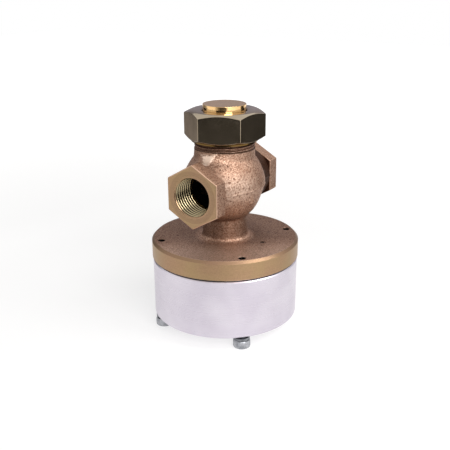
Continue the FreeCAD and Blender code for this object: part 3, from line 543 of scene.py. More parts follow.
@dataclass(frozen=True)
class SandCastBronze:
    """Gunmetal cast in sand and machined in places.

    The cast skin is a rosy brown with dark pits and pale grains, with painted shade in its hollows and holes
    and painted light on its front. The rim, port faces and bores are cut metal, which is yellower and shows
    ring marks.
    """

    name: str = "sand_cast_bronze"
    skin_light: str = "#C6A48E"
    skin_mid: str = "#835E49"
    skin_dark: str = "#452A1C"
    # Colour of the painted shade on the flange's far side, the foot, the outlet's hollow and dark corners
    painted_shade: str = "#3A2012"
    # Near-black painted shade in the flange's tapped holes
    hole_shade: str = "#0B0807"
    # Pale colour of the ground pad, and of the painted light on the flange's front and the belly
    ground: str = "#F0D6C2"
    cut_light: str = "#B69475"
    cut_dark: str = "#987A5F"
    cut_olive: str = "#A69067"
    bevel: str = "#7E6250"
    # Pale pink of the painted glint along the port hexagons' edges
    edge_glint: str = "#D9B49A"
    crest: str = "#BFAE8A"
    # Near-black painted shade in the bore past the mouth, between the thread's crests
    root: str = "#1E1610"
    cut_rough: float = 0.4
    skin_rough: float = 0.52
    bore_rough: float = 0.2

    # Moulding sand has grains of about 0.2 mm, which are drawn as coarse as they need to show
    grit_mm: float = 0.7
    pit_mm: float = 1.1
    lump_mm: float = 4.5
    stain_mm: float = 14.0
    # Depth of the relief, and the height of lumps and cut marks as shares of the grit's
    relief_mm: float = 0.17
    lump_height: float = 0.9
    cut_height: float = 0.3
    # How metallic the skin and the cut metal are
    metallic: Limits = (0.85, 1.0)
    # Share of the grit in the cut metal's mottle, beside its ring marks
    grit_share: float = 0.6
    # Feed marks of the lathe on rim and port faces, drawn coarser than they are for the same reason
    rim_ring_mm: float = 0.3
    face_ring_mm: float = 0.5
    # Distance within which other metal shuts out the light, and painted shade is laid on
    shade_reach: float = 20.0

    # Where the skin's noises change its colour
    grit_fade: Limits = (0.36, 0.64)
    pit_fade: Limits = (0.33, 0.43, 0.7, 0.0)
    stain_fade: Limits = (0.45, 0.75, 0.0, 0.45)
    # The flange's top: heights at and below it, distances past the foot, and steps towards the front, for the
    # painted shadow on its far side and the painted light on its front
    flange_level: Limits = (47.4, 47.0)
    past_foot: Limits = (14.0, 16.0)
    shaded_side: Limits = (18.0, 4.0, 0.0, 0.4)
    lit_front: Limits = (12.0, 24.0, 0.0, 0.2)
    # The foot, by height, which painted shade darkens
    below_waist: Limits = (60.5, 57.0)
    above_foot: Limits = (48.2, 49.6, 0.0, 0.5)
    # Places that little light reaches, off the flange, which painted shade darkens
    little_light: Limits = (0.3, 0.8, 0.92, 0.0)
    off_flange: Limits = (47.6, 48.4)
    # The hollow between globe and outlet hexagon, which painted shade darkens
    behind_globe: Limits = (12.0, 14.0)
    before_outlet: Limits = (22.7, 22.5)
    hollow_height: Limits = (55.0, 57.0, 0.0, 0.95)
    # Holes in the flange's top, filled with near-black painted shade: below it and inside the rim
    hole_depth: Limits = (46.74, 46.5)
    inside_rim: Limits = (36.0, 35.9)
    # The ground pad: fray by the pits, soft edge, and depth from front to back
    pad_fray: Limits = (0.25, 0.75, -0.7, 0.7)
    pad_edge: Limits = (-0.5, 0.7)
    pad_front: Limits = (-21.1, -20.8)
    pad_back: Limits = (-10.7, -11.0)
    pad_strength: float = 0.95
    # Painted highlight on the front of the belly, laid on its grains
    belly_from: Limits = (69.0, 74.0)
    belly_to: Limits = (85.0, 80.0)
    belly_front: Limits = (9.0, 18.0)
    before_hexagon: Limits = (22.3, 21.0)
    highlight_grains: Limits = (0.36, 0.6, 0.0, 0.42)
    # Cut metal: above the flange, the rim, the port faces and the bores
    over_flange: Limits = (56.0, 57.0)
    rim_start: Limits = (36.15, 36.35)
    face_level: Limits = (29.6, 29.75)
    bore_wall: Limits = (10.7, 10.5)
    bore_depth: Limits = (13.9, 14.1)
    # The port thread's crests, by distance from its axis, and where it is past the mouth
    crest_outside: Limits = (9.95, 9.45)
    crest_inside: Limits = (9.0, 9.2)
    past_mouth: Limits = (29.5, 29.2)
    # Edges of the port hexagons, which carry a painted glint, the middle of their faces and the rim's chamfer
    hexagon_edge: Limits = (13.25, 13.5)
    face_middle: Limits = (12.8, 12.5, 0.0, 0.3)
    rim_chamfer: Limits = (45.5, 45.7, 0.0, 0.62)
    # Where the cut metal's noises change its colour, and the grit its roughness
    olive_fade: Limits = (0.35, 0.65, 0.0, 0.5)
    mottle_fade: Limits = (0.3, 0.7)

    def bare_skin(self, grain: Grain, grit: Socket, pits: Socket) -> Socket:
        """Colour the clean cast skin: lighter on the grit, dark in the pits, stained in patches.

        Args:
            grain: Measures of the surface.
            grit: Noise of the sand grains.
            pits: Noise of the pits.

        Returns:
            The colour.
        """
        patches = grain.add("TexNoise", grain.place, Scale=1 / self.stain_mm, Detail=3.0)
        return grain.coats(
            self.skin_mid,
            (grain.region((grit, self.grit_fade)), self.skin_light),
            (grain.region((pits, self.pit_fade)), self.skin_dark),
            (grain.region((patches, self.stain_fade)), self.skin_mid),
        )

    def painted_shade_share(self, grain: Grain) -> Socket:
        """Share of painted shade: the most of the flange's far side, the foot, the outlet's hollow and dark
        corners.

        Args:
            grain: Measures of the surface.

        Returns:
            The share.
        """
        height, north = grain.height, grain.north
        light = grain.add("AmbientOcclusion", Distance=self.shade_reach * MM, samples=8).node.outputs["AO"]
        flange = ((height, self.flange_level), (grain.axis_distance, self.past_foot))
        outlet = ((north, self.behind_globe), (north, self.before_outlet))
        # Painted shade: the flange's far side, the foot, the outlet's hollow and the corners that little
        # light reaches
        shares = (
            grain.region(*flange, (grain.forward, self.shaded_side)),
            grain.region((height, self.below_waist), (height, self.above_foot)),
            grain.region(*outlet, (height, self.hollow_height)),
            grain.region((light, self.little_light), (height, self.off_flange)),
        )
        return reduce(partial(grain.add, "Math", operation="MAXIMUM"), shares)

    def pad_share(self, grain: Grain, pits: Socket) -> Socket:
        """Share of the ground pad: the least distance inside the triangle's three sides, frayed by the pits.

        The distance to the right of a side from s to e is ((x - s_x) climb - (z - s_z) run) / length.

        Args:
            grain: Measures of the surface.
            pits: Noise of the pits.

        Returns:
            The share.
        """
        add, north = grain.add, grain.north
        sides = []
        for start, end in zip(PAD_CORNERS, PAD_CORNERS[1:] + PAD_CORNERS[:1]):
            run, climb = end[0] - start[0], end[1] - start[1]
            length = (run**2 + climb**2) ** 0.5
            sideways = add("Math", grain.east, start[0], operation="SUBTRACT")
            sideways = add("Math", sideways, climb / length, operation="MULTIPLY")
            upwards = add("Math", grain.height, start[1], operation="SUBTRACT")
            upwards = add("Math", upwards, run / length, operation="MULTIPLY")
            sides.append(add("Math", sideways, upwards, operation="SUBTRACT"))
        least = reduce(partial(add, "Math", operation="MINIMUM"), sides)
        least = add("Math", least, add("MapRange", pits, *self.pad_fray), operation="ADD")
        return grain.region((north, self.pad_front), (north, self.pad_back), (least, self.pad_edge))

    def used_skin(self, grain: Grain, grit: Socket, pits: Socket) -> Socket:
        """Colour the cast skin: painted shade over the bare skin, then the ground pad with painted light,
        then near-black painted shade in the holes.

        Args:
            grain: Measures of the surface.
            grit: Noise of the sand grains.
            pits: Noise of the pits.

        Returns:
            The colour.
        """
        add = grain.add
        pad = add("Math", self.pad_share(grain, pits), self.pad_strength, operation="MULTIPLY")
        # Painted light: the flange's front is paled towards the side from which it is seen and lit
        lit_flange = grain.region(
            (grain.height, self.flange_level),
            (grain.axis_distance, self.past_foot),
            (grain.forward, self.lit_front),
        )
        # Painted highlight: pale grains on the front of the belly, towards the side from which it is seen
        belly_highlight = grain.region(
            (grain.height, self.belly_from),
            (grain.height, self.belly_to),
            (grain.forward, self.belly_front),
            (grain.across, self.before_hexagon),
            (pits, self.highlight_grains),
        )
        pale_and_lit = reduce(partial(add, "Math", operation="MAXIMUM"), (pad, lit_flange, belly_highlight))
        # Painted shade: the holes below the flange's top are near black
        hole_shade_share = grain.region((grain.height, self.hole_depth), (grain.axis_distance, self.inside_rim))
        return grain.coats(
            self.bare_skin(grain, grit, pits),
            (self.painted_shade_share(grain), self.painted_shade),
            (pale_and_lit, self.ground),
            (hole_shade_share, self.hole_shade),
        )

    def cut_places(self, grain: Grain) -> tuple[Socket, Socket, Socket]:
        """Mark where the casting was cut.

        Args:
            grain: Measures of the surface.

        Returns:
            Shares of the flange's rim, of the port faces and of the threaded bores.
        """
        high = grain.region((grain.height, self.over_flange))
        past_rim = grain.region((grain.axis_distance, self.rim_start))
        rim = grain.add("Math", past_rim, high, operation="SUBTRACT")
        face = grain.region((grain.across, self.face_level), (grain.height, self.over_flange))
        bore = grain.region((grain.port_distance, self.bore_wall), (grain.across, self.bore_depth))
        return rim, face, bore

    def ring_mottle(self, grain: Grain, face: Socket, grit: Socket) -> Socket:
        """Mottle of the cut metal: ring marks about the valve's axis or the ports' axis, with grit.

        Args:
            grain: Measures of the surface.
            face: Share of the port faces.
            grit: Noise of the sand grains.

        Returns:
            The mottle, from 0 to 1.
        """
        add = grain.add
        on_rim = add("CombineXYZ", grain.axis_distance, grain.height)
        on_face = add("CombineXYZ", grain.port_distance, grain.across)
        rim_rings = add("TexNoise", on_rim, Scale=1 / self.rim_ring_mm)
        face_rings = add("TexNoise", on_face, Scale=1 / self.face_ring_mm)
        return add("Mix", self.grit_share, A=add("Mix", face, A=rim_rings, B=face_rings), B=grit)

    def cut_metal(self, grain: Grain, mottle: Socket, places: tuple[Socket, Socket, Socket]) -> Socket:
        """Colour the cut metal: its mottle and olive patches, then faces, chamfer, a painted glint on the
        hexagons' edges, and thread.

        A hexagon's edge is near where the greater of x and x / 2 + 0.866 z, from its middle, is greatest. The
        thread has bright crests, and painted shade darkens its roots and the rest of the bore past the mouth.

        Args:
            grain: Measures of the surface.
            mottle: Pattern of ring marks and grit.
            places: Shares of rim, port faces and bores.

        Returns:
            The colour.
        """
        add, away = grain.add, grain.port_distance
        rim, face, bore = places
        patches = add("TexNoise", grain.place, Scale=1 / self.stain_mm)
        slanted = add("Math", grain.off_middle, 0.5, operation="MULTIPLY")
        upright = add("Math", grain.off_port, 0.866, operation="MULTIPLY")
        slanted = add("Math", slanted, upright, operation="ADD")
        edge = add("Math", grain.off_middle, slanted, operation="MAXIMUM")
        limits = (
            (face, away, self.face_middle),
            (rim, grain.height, self.rim_chamfer),
            (face, edge, self.hexagon_edge),
            (bore, grain.across, self.past_mouth),
        )
        faced, sloped, glint_share, deep = (
            add("Math", share, add("MapRange", measure, *between), operation="MULTIPLY")
            for share, measure, between in limits
        )
        ridge = grain.region((away, self.crest_outside), (away, self.crest_inside))
        return grain.coats(
            self.cut_dark,
            (grain.region((mottle, self.mottle_fade)), self.cut_light),
            (grain.region((patches, self.olive_fade)), self.cut_olive),
            (faced, self.bevel),
            (sloped, self.bevel),
            (glint_share, self.edge_glint),
            # Painted shade in the bore, all but the thread's crests
            (deep, grain.coats(self.root, (ridge, self.crest))),
        )

    def make(self) -> bpy.types.Material:
        """Build the material: cast skin and cut metal, parted by where the lathe and mill have been.

        Returns:
            The material.
        """
        material, surface = new_material(self.name)
        grain = Grain.start(material.node_tree)
        add = grain.add
        grit = add("TexNoise", grain.place, Scale=1 / self.grit_mm, Detail=3.0, Roughness=0.65)
        lumps = add("TexNoise", grain.place, Scale=1 / self.lump_mm)
        pits = add("TexNoise", grain.place, Scale=1 / self.pit_mm, Roughness=0.7)
        skin = self.used_skin(grain, grit, pits)
        places = self.cut_places(grain)
        cut = reduce(partial(add, "Math", operation="MAXIMUM"), places)
        mottle = self.ring_mottle(grain, places[1], grit)
        metal = self.cut_metal(grain, mottle, places)

        dull, shiny = self.skin_rough + 0.1, self.skin_rough - 0.08
        skin_rough = add("MapRange", grit, *self.mottle_fade, dull, shiny)
        cut_rough = add("MapRange", places[2], 0.0, 1.0, self.cut_rough, self.bore_rough)
        lumps = add("Math", lumps, self.lump_height, operation="MULTIPLY")
        cast_height = add("Math", grit, lumps, operation="ADD")
        cut_height = add("Math", mottle, self.cut_height, operation="MULTIPLY")
        height = add("Mix", cut, A=cast_height, B=cut_height)
        values = {
            "Base Color": grain.coats(skin, (cut, metal)),
            "Roughness": add("Mix", cut, A=skin_rough, B=cut_rough),
            "Normal": add("Bump", Height=height, Distance=self.relief_mm * MM, Strength=1.0),
            "Metallic": add("MapRange", cut, 0.0, 1.0, *self.metallic),
        }
        feed(surface, values)
        return material


class Finish(Enum):
    """Every finish of the valve, by the record's slot."""

    # Gunmetal cast in sand: rosy brown and rough, and yellower where it was cut
    CAST_BRONZE = SandCastBronze()
    # Free-cutting brass bar, milled flats gone olive in the air: dark, with soft streaks
    NUT_BRASS = MilledBrass("milled_nut_brass", "#B8A892", "#A0927C", "#6E5630", 0.11)
    # The same brass buffed after turning: near a mirror, with a warm gold glow
    POLISHED_BRASS = TurnedMetal("buffed_brass", "#F6CE94", "#EABF84", 0.13, 0.25, 0.0005)
    # Turned brass straight from the lathe: yellow, with plain ring marks
    TURNED_BRASS = TurnedMetal("turned_brass", "#D8BC7C", "#BE9F62", 0.3)
    # Bearing bronze: redder than brass and duller
    GUIDE_BRONZE = TurnedMetal("bearing_bronze", "#C98F62", "#A97348", 0.35)
    # Aluminium bar turned with a fine feed: nearly white, with a soft sheen
    TURNED_ALUMINIUM = TurnedMetal("turned_aluminium", "#DAD4DD", "#CFC8D3", 0.3, 0.4, 0.003, 16.0)
    # Bright zinc plate on steel: grey-white with a faint blue, slightly cloudy
    ZINC_STEEL = TurnedMetal("zinc_plated_steel", "#B4B5B9", "#95979C", 0.42, 0.3, 0.006, 3.0)
    # Hard-drawn spring wire, oiled: dark grey and smooth
    SPRING_STEEL = TurnedMetal("oiled_spring_steel", "#8D8F93", "#5E6065", 0.35, 0.3, 0.003, 4.0)
    # Ground stainless bar: neutral grey with fine rings
    STAINLESS_STEEL = TurnedMetal("ground_stainless", "#C8C7C4", "#AFAEAC", 0.22, 0.2, 0.002)
    # Nitrile rubber, moulded: black and matt
    NITRILE_RUBBER = SoftSheet("nitrile_rubber", "#2B2B2D", "#1C1C1E", 0.7)
    # Skived fluoroplastic: milky white, waxy
    PTFE_SHEET = SoftSheet("skived_fluoroplastic", "#EDEBE4", "#DAD7CE", 0.45)
    # Compressed fibre jointing: dark grey with pale fibre specks
    GASKET_SHEET = SoftSheet("compressed_fibre_jointing", "#2C2F38", "#15171D", 0.85, 0.3, 0.03)

    @property
    def slot(self) -> str:
        """Name of the record's slot."""
        return self.name.lower()


class Wardrobe:
    """Makes each finish once and puts it on the CAD nodes of its slot."""

    def __init__(self) -> None:
        """Make every finish's material."""
        self.materials = {finish: finish.value.make() for finish in Finish}

    def dress_nodes(self) -> None:
        """Give each CAD node the material of its slot in the record."""
        slots = {finish.slot: self.materials[finish] for finish in Finish}
        for name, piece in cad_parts.items():
            for place in piece.material_slots:
                old = place.material.name.split(".")[0] if place.material else ""
                place.link = "OBJECT"
                place.material = slots.get(old, slots["cast_bronze"])
                LOG.info("%s wears %s", name, place.material.name)


@dataclass(frozen=True)
class ThreadForm:
    """Rounded V thread: the radius swings between root and crest once for each pitch of rise."""

    root: float
    crest: float
    pitch: float

    def radius(self, angle: Array, rise: Array) -> Array:
        """Radius of the thread's surface.

        The phase is rise / pitch - angle / a full turn. Its distance from the half, doubled, is a triangle
        wave, and the cubic 3t^2 - 2t^3 rounds its crests and roots.

        Args:
            angle: Angle about the thread's axis in radians.
            rise: Distance along it in mm.

        Returns:
            Radius in mm.
        """
        phase = np.mod(rise / self.pitch - angle / FULL_TURN, 1.0)
        return self.root + (self.crest - self.root) * eased(1 - np.abs(2 * phase - 1))


@dataclass(frozen=True)
class GlobeCasting:
    """The bronze body: its cast skin over foot, waist, globe and collars, and its cut threads."""

    flange_top: float = 46.8
    waist_level: float = 58.6
    waist_radius: float = 11.2
    neck_radius: float = 15.0
    skin_top: float = 92.7
    collar_radius: float = 13.55
    skin_end: float = 23.4
    skin_cover: float = 0.1
    inlet_blend: float = 8.0
    outlet_blend: float = 2.6
    port_face: float = 30.0
    bore_wall: float = 10.46
    neck_wall: float = 14.06
    port_thread: ThreadForm = ThreadForm(10.4, 9.32, 1.814)
    neck_thread: ThreadForm = ThreadForm(14.1, 14.98, 1.5)
    # Start of the skin over the flange, and how far its hidden edge sinks into it and spreads there
    foot_gap: float = 0.05
    sunk_edge: tuple[float, float] = (0.4, 1.6)
    skin_columns: int = 320
    foot_rows: int = 45
    globe_rows: int = 130
    # Distances from the middle of the port axis between which the globe's surface is sought
    bracket: tuple[float, float] = (9.0, 45.0)
    halvings: int = 36
    ridge_height: float = 0.42
    ridge_width: float = 0.42
    gate_place: tuple[float, float, float] = (17.9, -4.1, 68.9)
    gate_height: float = 0.55
    gate_width: float = 2.4
    blow_depth: float = 0.45
    # The ground pad: how it fades out, where it lies along y, its direction, its lift and its greatest rise
    pad_fade: float = 0.7
    pad_span: tuple[float, float] = (-20.8, -8.0)
    pad_azimuth: float = -89.0
    pad_lift: float = 0.08
    pad_limit: float = 0.15
    # Rows of the port's thread: first and last depth and their step, its run-in and the mouth's chamfer
    port_rows: tuple[float, float, float] = (0.02, 13.95, 0.11)
    port_run: float = 1.6
    port_mouth: float = 0.35
    # Rows of the neck's thread: first and last height and their step, where it ends and its run-out
    neck_rows: tuple[float, float, float] = (92.5, 102.35, 0.1)
    neck_ends: tuple[float, float] = (91.9, 102.9)
    neck_run: float = 0.8
    # Place of the middle of each blow-hole as x, y, z, and its width
    blow_holes: tuple[tuple[float, ...], ...] = (
        (10.5, -16.8, 76.2, 0.5),
        (10.6, -16.8, 74.9, 0.55),
        (10.3, -16.9, 73.4, 0.6),
        (16.2, -9.0, 81.0, 0.5),
    )
    # Outline of a narrowed hole's sleeve, as rows of radius and height
    mouth_outline: tuple[tuple[float, float], ...] = (
        (2.52, 44.4),
        (2.52, 46.77),
        (1.95, 46.77),
        (1.7, 46.5),
        (1.7, 44.4),
    )
    profile: Array = field(default_factory=lambda: GlobeCasting.rolled_profile())

    @staticmethod
    def rolled_profile() -> Array:
        """Outline of foot, waist, globe and neck, with its hollows rounded.

        Arcs join the casting's ring sizes. A ball rolled along the outside rounds each hollow: the outline is
        first grown by the ball's outline and then shrunk by it. The flange is a step out to 60 mm.

        Returns:
            Rows of height and radius, 0.05 mm apart.
        """
        step, flange_top, foot_end = 0.05, 46.8, 52.0
        arcs = [
            arc_points((11.7, flange_top), (11.2, 58.6), 60.0, -1),
            arc_points((11.2, 58.6), (17.3, 66.4), 16.0, 1),
            arc_points((17.3, 66.4), (19.85, PORT_AXIS), 60.0, 1),
            arc_points((19.85, PORT_AXIS), (19.85, 78.6), 10.0, 1),
            arc_points((19.85, 78.6), (15.0, 88.4), 28.0, 1),
            np.array([[15.0, 88.4], [15.0, 96.0]]),
        ]
        outline = np.concatenate(arcs)
        heights = np.arange(42.0, 96.0, step)
        radii = np.interp(heights, outline[:, 1], outline[:, 0])
        radii[heights < flange_top] = 60.0
        rounded = []
        for ball in (2.2, 2.0):
            reach = int(ball / step)
            offsets = np.arange(-reach, reach + 1)
            cap = np.sqrt(np.maximum(ball**2 - (offsets * step) ** 2, 0))
            near = np.clip(np.arange(len(heights))[:, None] + offsets, 0, len(heights) - 1)
            grown = np.max(radii[near] + cap, axis=1)
            rounded.append(np.min(grown[near] - cap, axis=1))
        return np.stack([heights, np.where(heights < foot_end, rounded[0], rounded[1])], axis=1)

    def outside(self, points: Array) -> Array:
        """Rough distance outside the cast form, nought on it.

        It is the smooth least of the distances to the turned form and to the collars' cylinder. The hollow
        between them is fuller at the inlet.

        Args:
            points: Places in mm.

        Returns:
            Distance in mm, negative inside.
        """
        from_axis = np.hypot(points[..., 0], points[..., 1])
        turned = from_axis - np.interp(points[..., 2], self.profile[:, 0], self.profile[:, 1])
        collar = np.hypot(points[..., 0], points[..., 2] - PORT_AXIS) - self.collar_radius
        share = np.clip(0.5 - points[..., 1] / 12, 0, 1)
        blend = self.outlet_blend + (self.inlet_blend - self.outlet_blend) * eased(share)
        return smooth_least(turned, collar, blend)

    def globe_places(self, turn: Array) -> Array:
        """Places of the cast form above the waist.

        A ray from the middle of the port axis meets the form, found by halving a bracket.

        Args:
            turn: Angles about the upright axis in radians.

        Returns:
            Places in mm, from the waist up.
        """
        top = np.arctan2(self.neck_radius, self.skin_top - PORT_AXIS)
        bottom = np.pi - np.arctan2(self.waist_radius, PORT_AXIS - self.waist_level)
        polar = np.linspace(bottom, top, self.globe_rows)[:, None]
        rays = turned_points(np.sin(polar), np.cos(polar), turn)
        centre = np.array([0.0, 0.0, PORT_AXIS])
        low, high = (np.full(rays.shape[:2], limit) for limit in self.bracket)
        for _ in range(self.halvings):
            middle = (low + high) / 2
            within = self.outside(centre + rays * middle[..., None]) < 0
            low, high = np.where(within, middle, low), np.where(within, high, middle)
        return centre + rays * low[..., None]

    def skin_places(self) -> tuple[Array, Array]:
        """Even places of the cast skin before its roughness, and the directions that point out of it.

        Below the waist the turned outline carries the rows down to the flange, closer together at the foot. A
        last row is hidden in the flange.

        Returns:
            Places in mm and unit directions, on a grid of rows and columns.
        """
        turn = np.linspace(0, FULL_TURN, self.skin_columns, endpoint=False)
        globe = self.globe_places(turn)
        steps = np.linspace(0, 1, self.foot_rows + 1)[:-1] ** 2
        start = self.flange_top + self.foot_gap
        heights = start + (globe[0, 0, 2] - self.flange_top - self.foot_gap) * steps
        radii = np.interp(heights, self.profile[:, 0], self.profile[:, 1])
        sink, spread = self.sunk_edge
        heights = np.concatenate([[self.flange_top - sink], heights])
        radii = np.concatenate([[radii[0] + spread], radii])
        places = np.concatenate([turned_points(radii[:, None], heights[:, None], turn), globe])
        along = np.gradient(places, axis=0)
        around = (np.roll(places, -1, axis=1) - np.roll(places, 1, axis=1)) / 2
        out = np.cross(around, along)
        return places, out / np.linalg.norm(out, axis=-1, keepdims=True)

    def skin_relief(self, places: Array) -> Array:
        """Height of the cast skin over its even places.

        Sand lumps of three sizes, a wandering parting ridge round the globe at the port axis, the broken gate
        beneath it and a few blow-holes are added up.

        Args:
            places: Even places of the skin in mm.

        Returns:
            Height in mm.
        """
        lumps = 0.10 * lattice_noise(places, 5.0, 3) + 0.05 * lattice_noise(places, 2.1, 5)
        sand = 0.035 * lattice_noise(places, 0.9, 7)
        wander = places[..., 2] - PORT_AXIS - 0.5 * lattice_noise(places, 7.0, 11)
        broken = 0.75 + 0.6 * lattice_noise(places, 1.6, 13)
        ridge = self.ridge_height * np.exp(-((wander / self.ridge_width) ** 2)) * np.maximum(broken, 0)
        gate = self.gate_height * bump_at(places, self.gate_place, self.gate_width)
        gate = gate * (1 + 0.9 * lattice_noise(places, 1.0, 17))
        pits = sum(bump_at(places, hole[:3], hole[3]) for hole in self.blow_holes)
        rough = self.skin_cover + lumps + sand + ridge + gate - self.blow_depth * pits
        return rough + self.pad_share(places) * (self.pad_rise(places) - rough)

    def pad_share(self, places: Array) -> Array:
        """Share of the flat pad that a grinder left under the nut, one inside a triangle of the front.

        It fades out by the least of the signed distances from the triangle's three sides.

        Args:
            places: Even places of the skin in mm.

        Returns:
            The share at each place.
        """
        corners = np.array(PAD_CORNERS)
        along = np.roll(corners, -1, axis=0) - corners
        along = along / np.linalg.norm(along, axis=1, keepdims=True)
        away = places[..., None, ::2] - corners
        least = np.min(away[..., 0] * along[:, 1] - away[..., 1] * along[:, 0], axis=-1)
        front, back = self.pad_span
        share = np.clip(least / self.pad_fade + 0.5, 0, 1)
        return share * (places[..., 1] < back) * (places[..., 1] > front)

    def pad_rise(self, places: Array) -> Array:
        """Height of the pad over the round neck, flat across: radius / cos(angle from its middle) - radius.

        Args:
            places: Even places of the skin in mm.

        Returns:
            Height in mm.
        """
        angle = np.arctan2(places[..., 1], places[..., 0]) - radians(self.pad_azimuth)
        radius = np.hypot(places[..., 0], places[..., 1])
        flat = radius / np.maximum(np.cos(angle), 0.5) - radius
        return self.skin_cover + self.pad_lift + np.minimum(flat, self.pad_limit)

    def make_skin(self, material: bpy.types.Material) -> None:
        """Build the cast skin as a thin shell that ends inside the port hexagons, the flange and the nut.

        Args:
            material: The cast bronze.
        """
        places, out = self.skin_places()
        rows, columns = places.shape[:2]
        points = places + out * self.skin_relief(places)[..., None]
        points[0] = places[0]
        faces = grid_faces(rows, columns, False, True)
        reach = np.abs(places[..., 1]).reshape(-1)[faces].min(axis=1)
        used, numbers = np.unique(faces[reach < self.skin_end], return_inverse=True)
        points, faces = points.reshape(-1, 3)[used], numbers.reshape(-1, 4)
        make_piece("cast_skin", points, faces, Body.HOUSING, material, crease=60)

    def make_port_thread(self, side: int, material: bpy.types.Material) -> None:
        """Cut one port's thread as a sleeve that lines the bore.

        Rows run from the port's face inwards. The groove deepens over its run-in, a 45 degree mouth
        opens it at the face, and the sleeve closes on itself against the bore's wall.

        Args:
            side: -1 for the inlet on the -Y side, 1 for the outlet.
            material: The cut bronze.
        """
        turn = np.linspace(0, FULL_TURN, 150, endpoint=False)
        depth = np.arange(*self.port_rows)[:, None]
        form = self.port_thread
        groove = form.radius(turn * side, -depth) - form.crest
        groove = groove * np.clip(depth / self.port_run, 0, 1)
        inner = form.crest + np.maximum(groove, self.port_mouth - depth)
        outer = np.full((1, len(turn)), self.bore_wall)
        radius = np.concatenate([inner, outer, outer])
        along = np.concatenate([depth, depth[-1:], depth[:1]]) * np.ones_like(turn)
        level = PORT_AXIS + radius * np.sin(turn)
        points = np.stack([radius * np.cos(turn), side * (self.port_face - along), level], axis=-1)
        faces = grid_faces(len(points), len(turn), True, True)
        name = "inlet_thread" if side < 0 else "outlet_thread"
        make_piece(name, points, faces, Body.HOUSING, material, crease=50)

    def make_neck_thread(self, material: bpy.types.Material) -> None:
        """Cut the neck's thread as a sleeve over its core, run out at both ends.

        Args:
            material: The cut bronze.
        """
        turn = np.linspace(0, FULL_TURN, 180, endpoint=False)
        height = np.arange(*self.neck_rows)[:, None]
        form = self.neck_thread
        low, high = self.neck_ends
        ends = np.clip(np.minimum(height - low, high - height) / self.neck_run, 0, 1)
        outer = form.root + (form.radius(turn, height) - form.root) * ends
        inner = np.full((1, len(turn)), self.neck_wall)
        radius = np.concatenate([outer, inner, inner])
        points = turned_points(radius, np.concatenate([height, height[-1:], height[:1]]), turn)
        faces = grid_faces(len(points), len(turn), True, True)
        make_piece("neck_thread", points, faces, Body.HOUSING, material, crease=50)

    def make_hole_mouth(self, number: int, material: bpy.types.Material) -> None:
        """Narrow one tapped hole at the flange's top, where the tap broke out of the smaller drilled mouth.

        Args:
            number: The hole's number, counted round from the first quarter.
            material: The cast skin.
        """
        outline = np.array(self.mouth_outline)
        turn = np.linspace(0, FULL_TURN, 48, endpoint=False)
        points = turned_points(outline[:, :1], outline[:, 1:], turn, bolt_place(number))
        faces = grid_faces(len(points), len(turn), True, True)
        name = f"hole_mouth_{number}"
        make_piece(name, points, faces, Body.HOUSING, material, crease=30)

    def build(self, wardrobe: Wardrobe) -> None:
        """Build the skin, every thread and the holes' mouths.

        Args:
            wardrobe: Source of the bronze.
        """
        bronze = wardrobe.materials[Finish.CAST_BRONZE]
        self.make_skin(bronze)
        for number in range(1, 5):
            self.make_hole_mouth(number, bronze)
        for side in (-1, 1):
            self.make_port_thread(side, bronze)
        self.make_neck_thread(bronze)


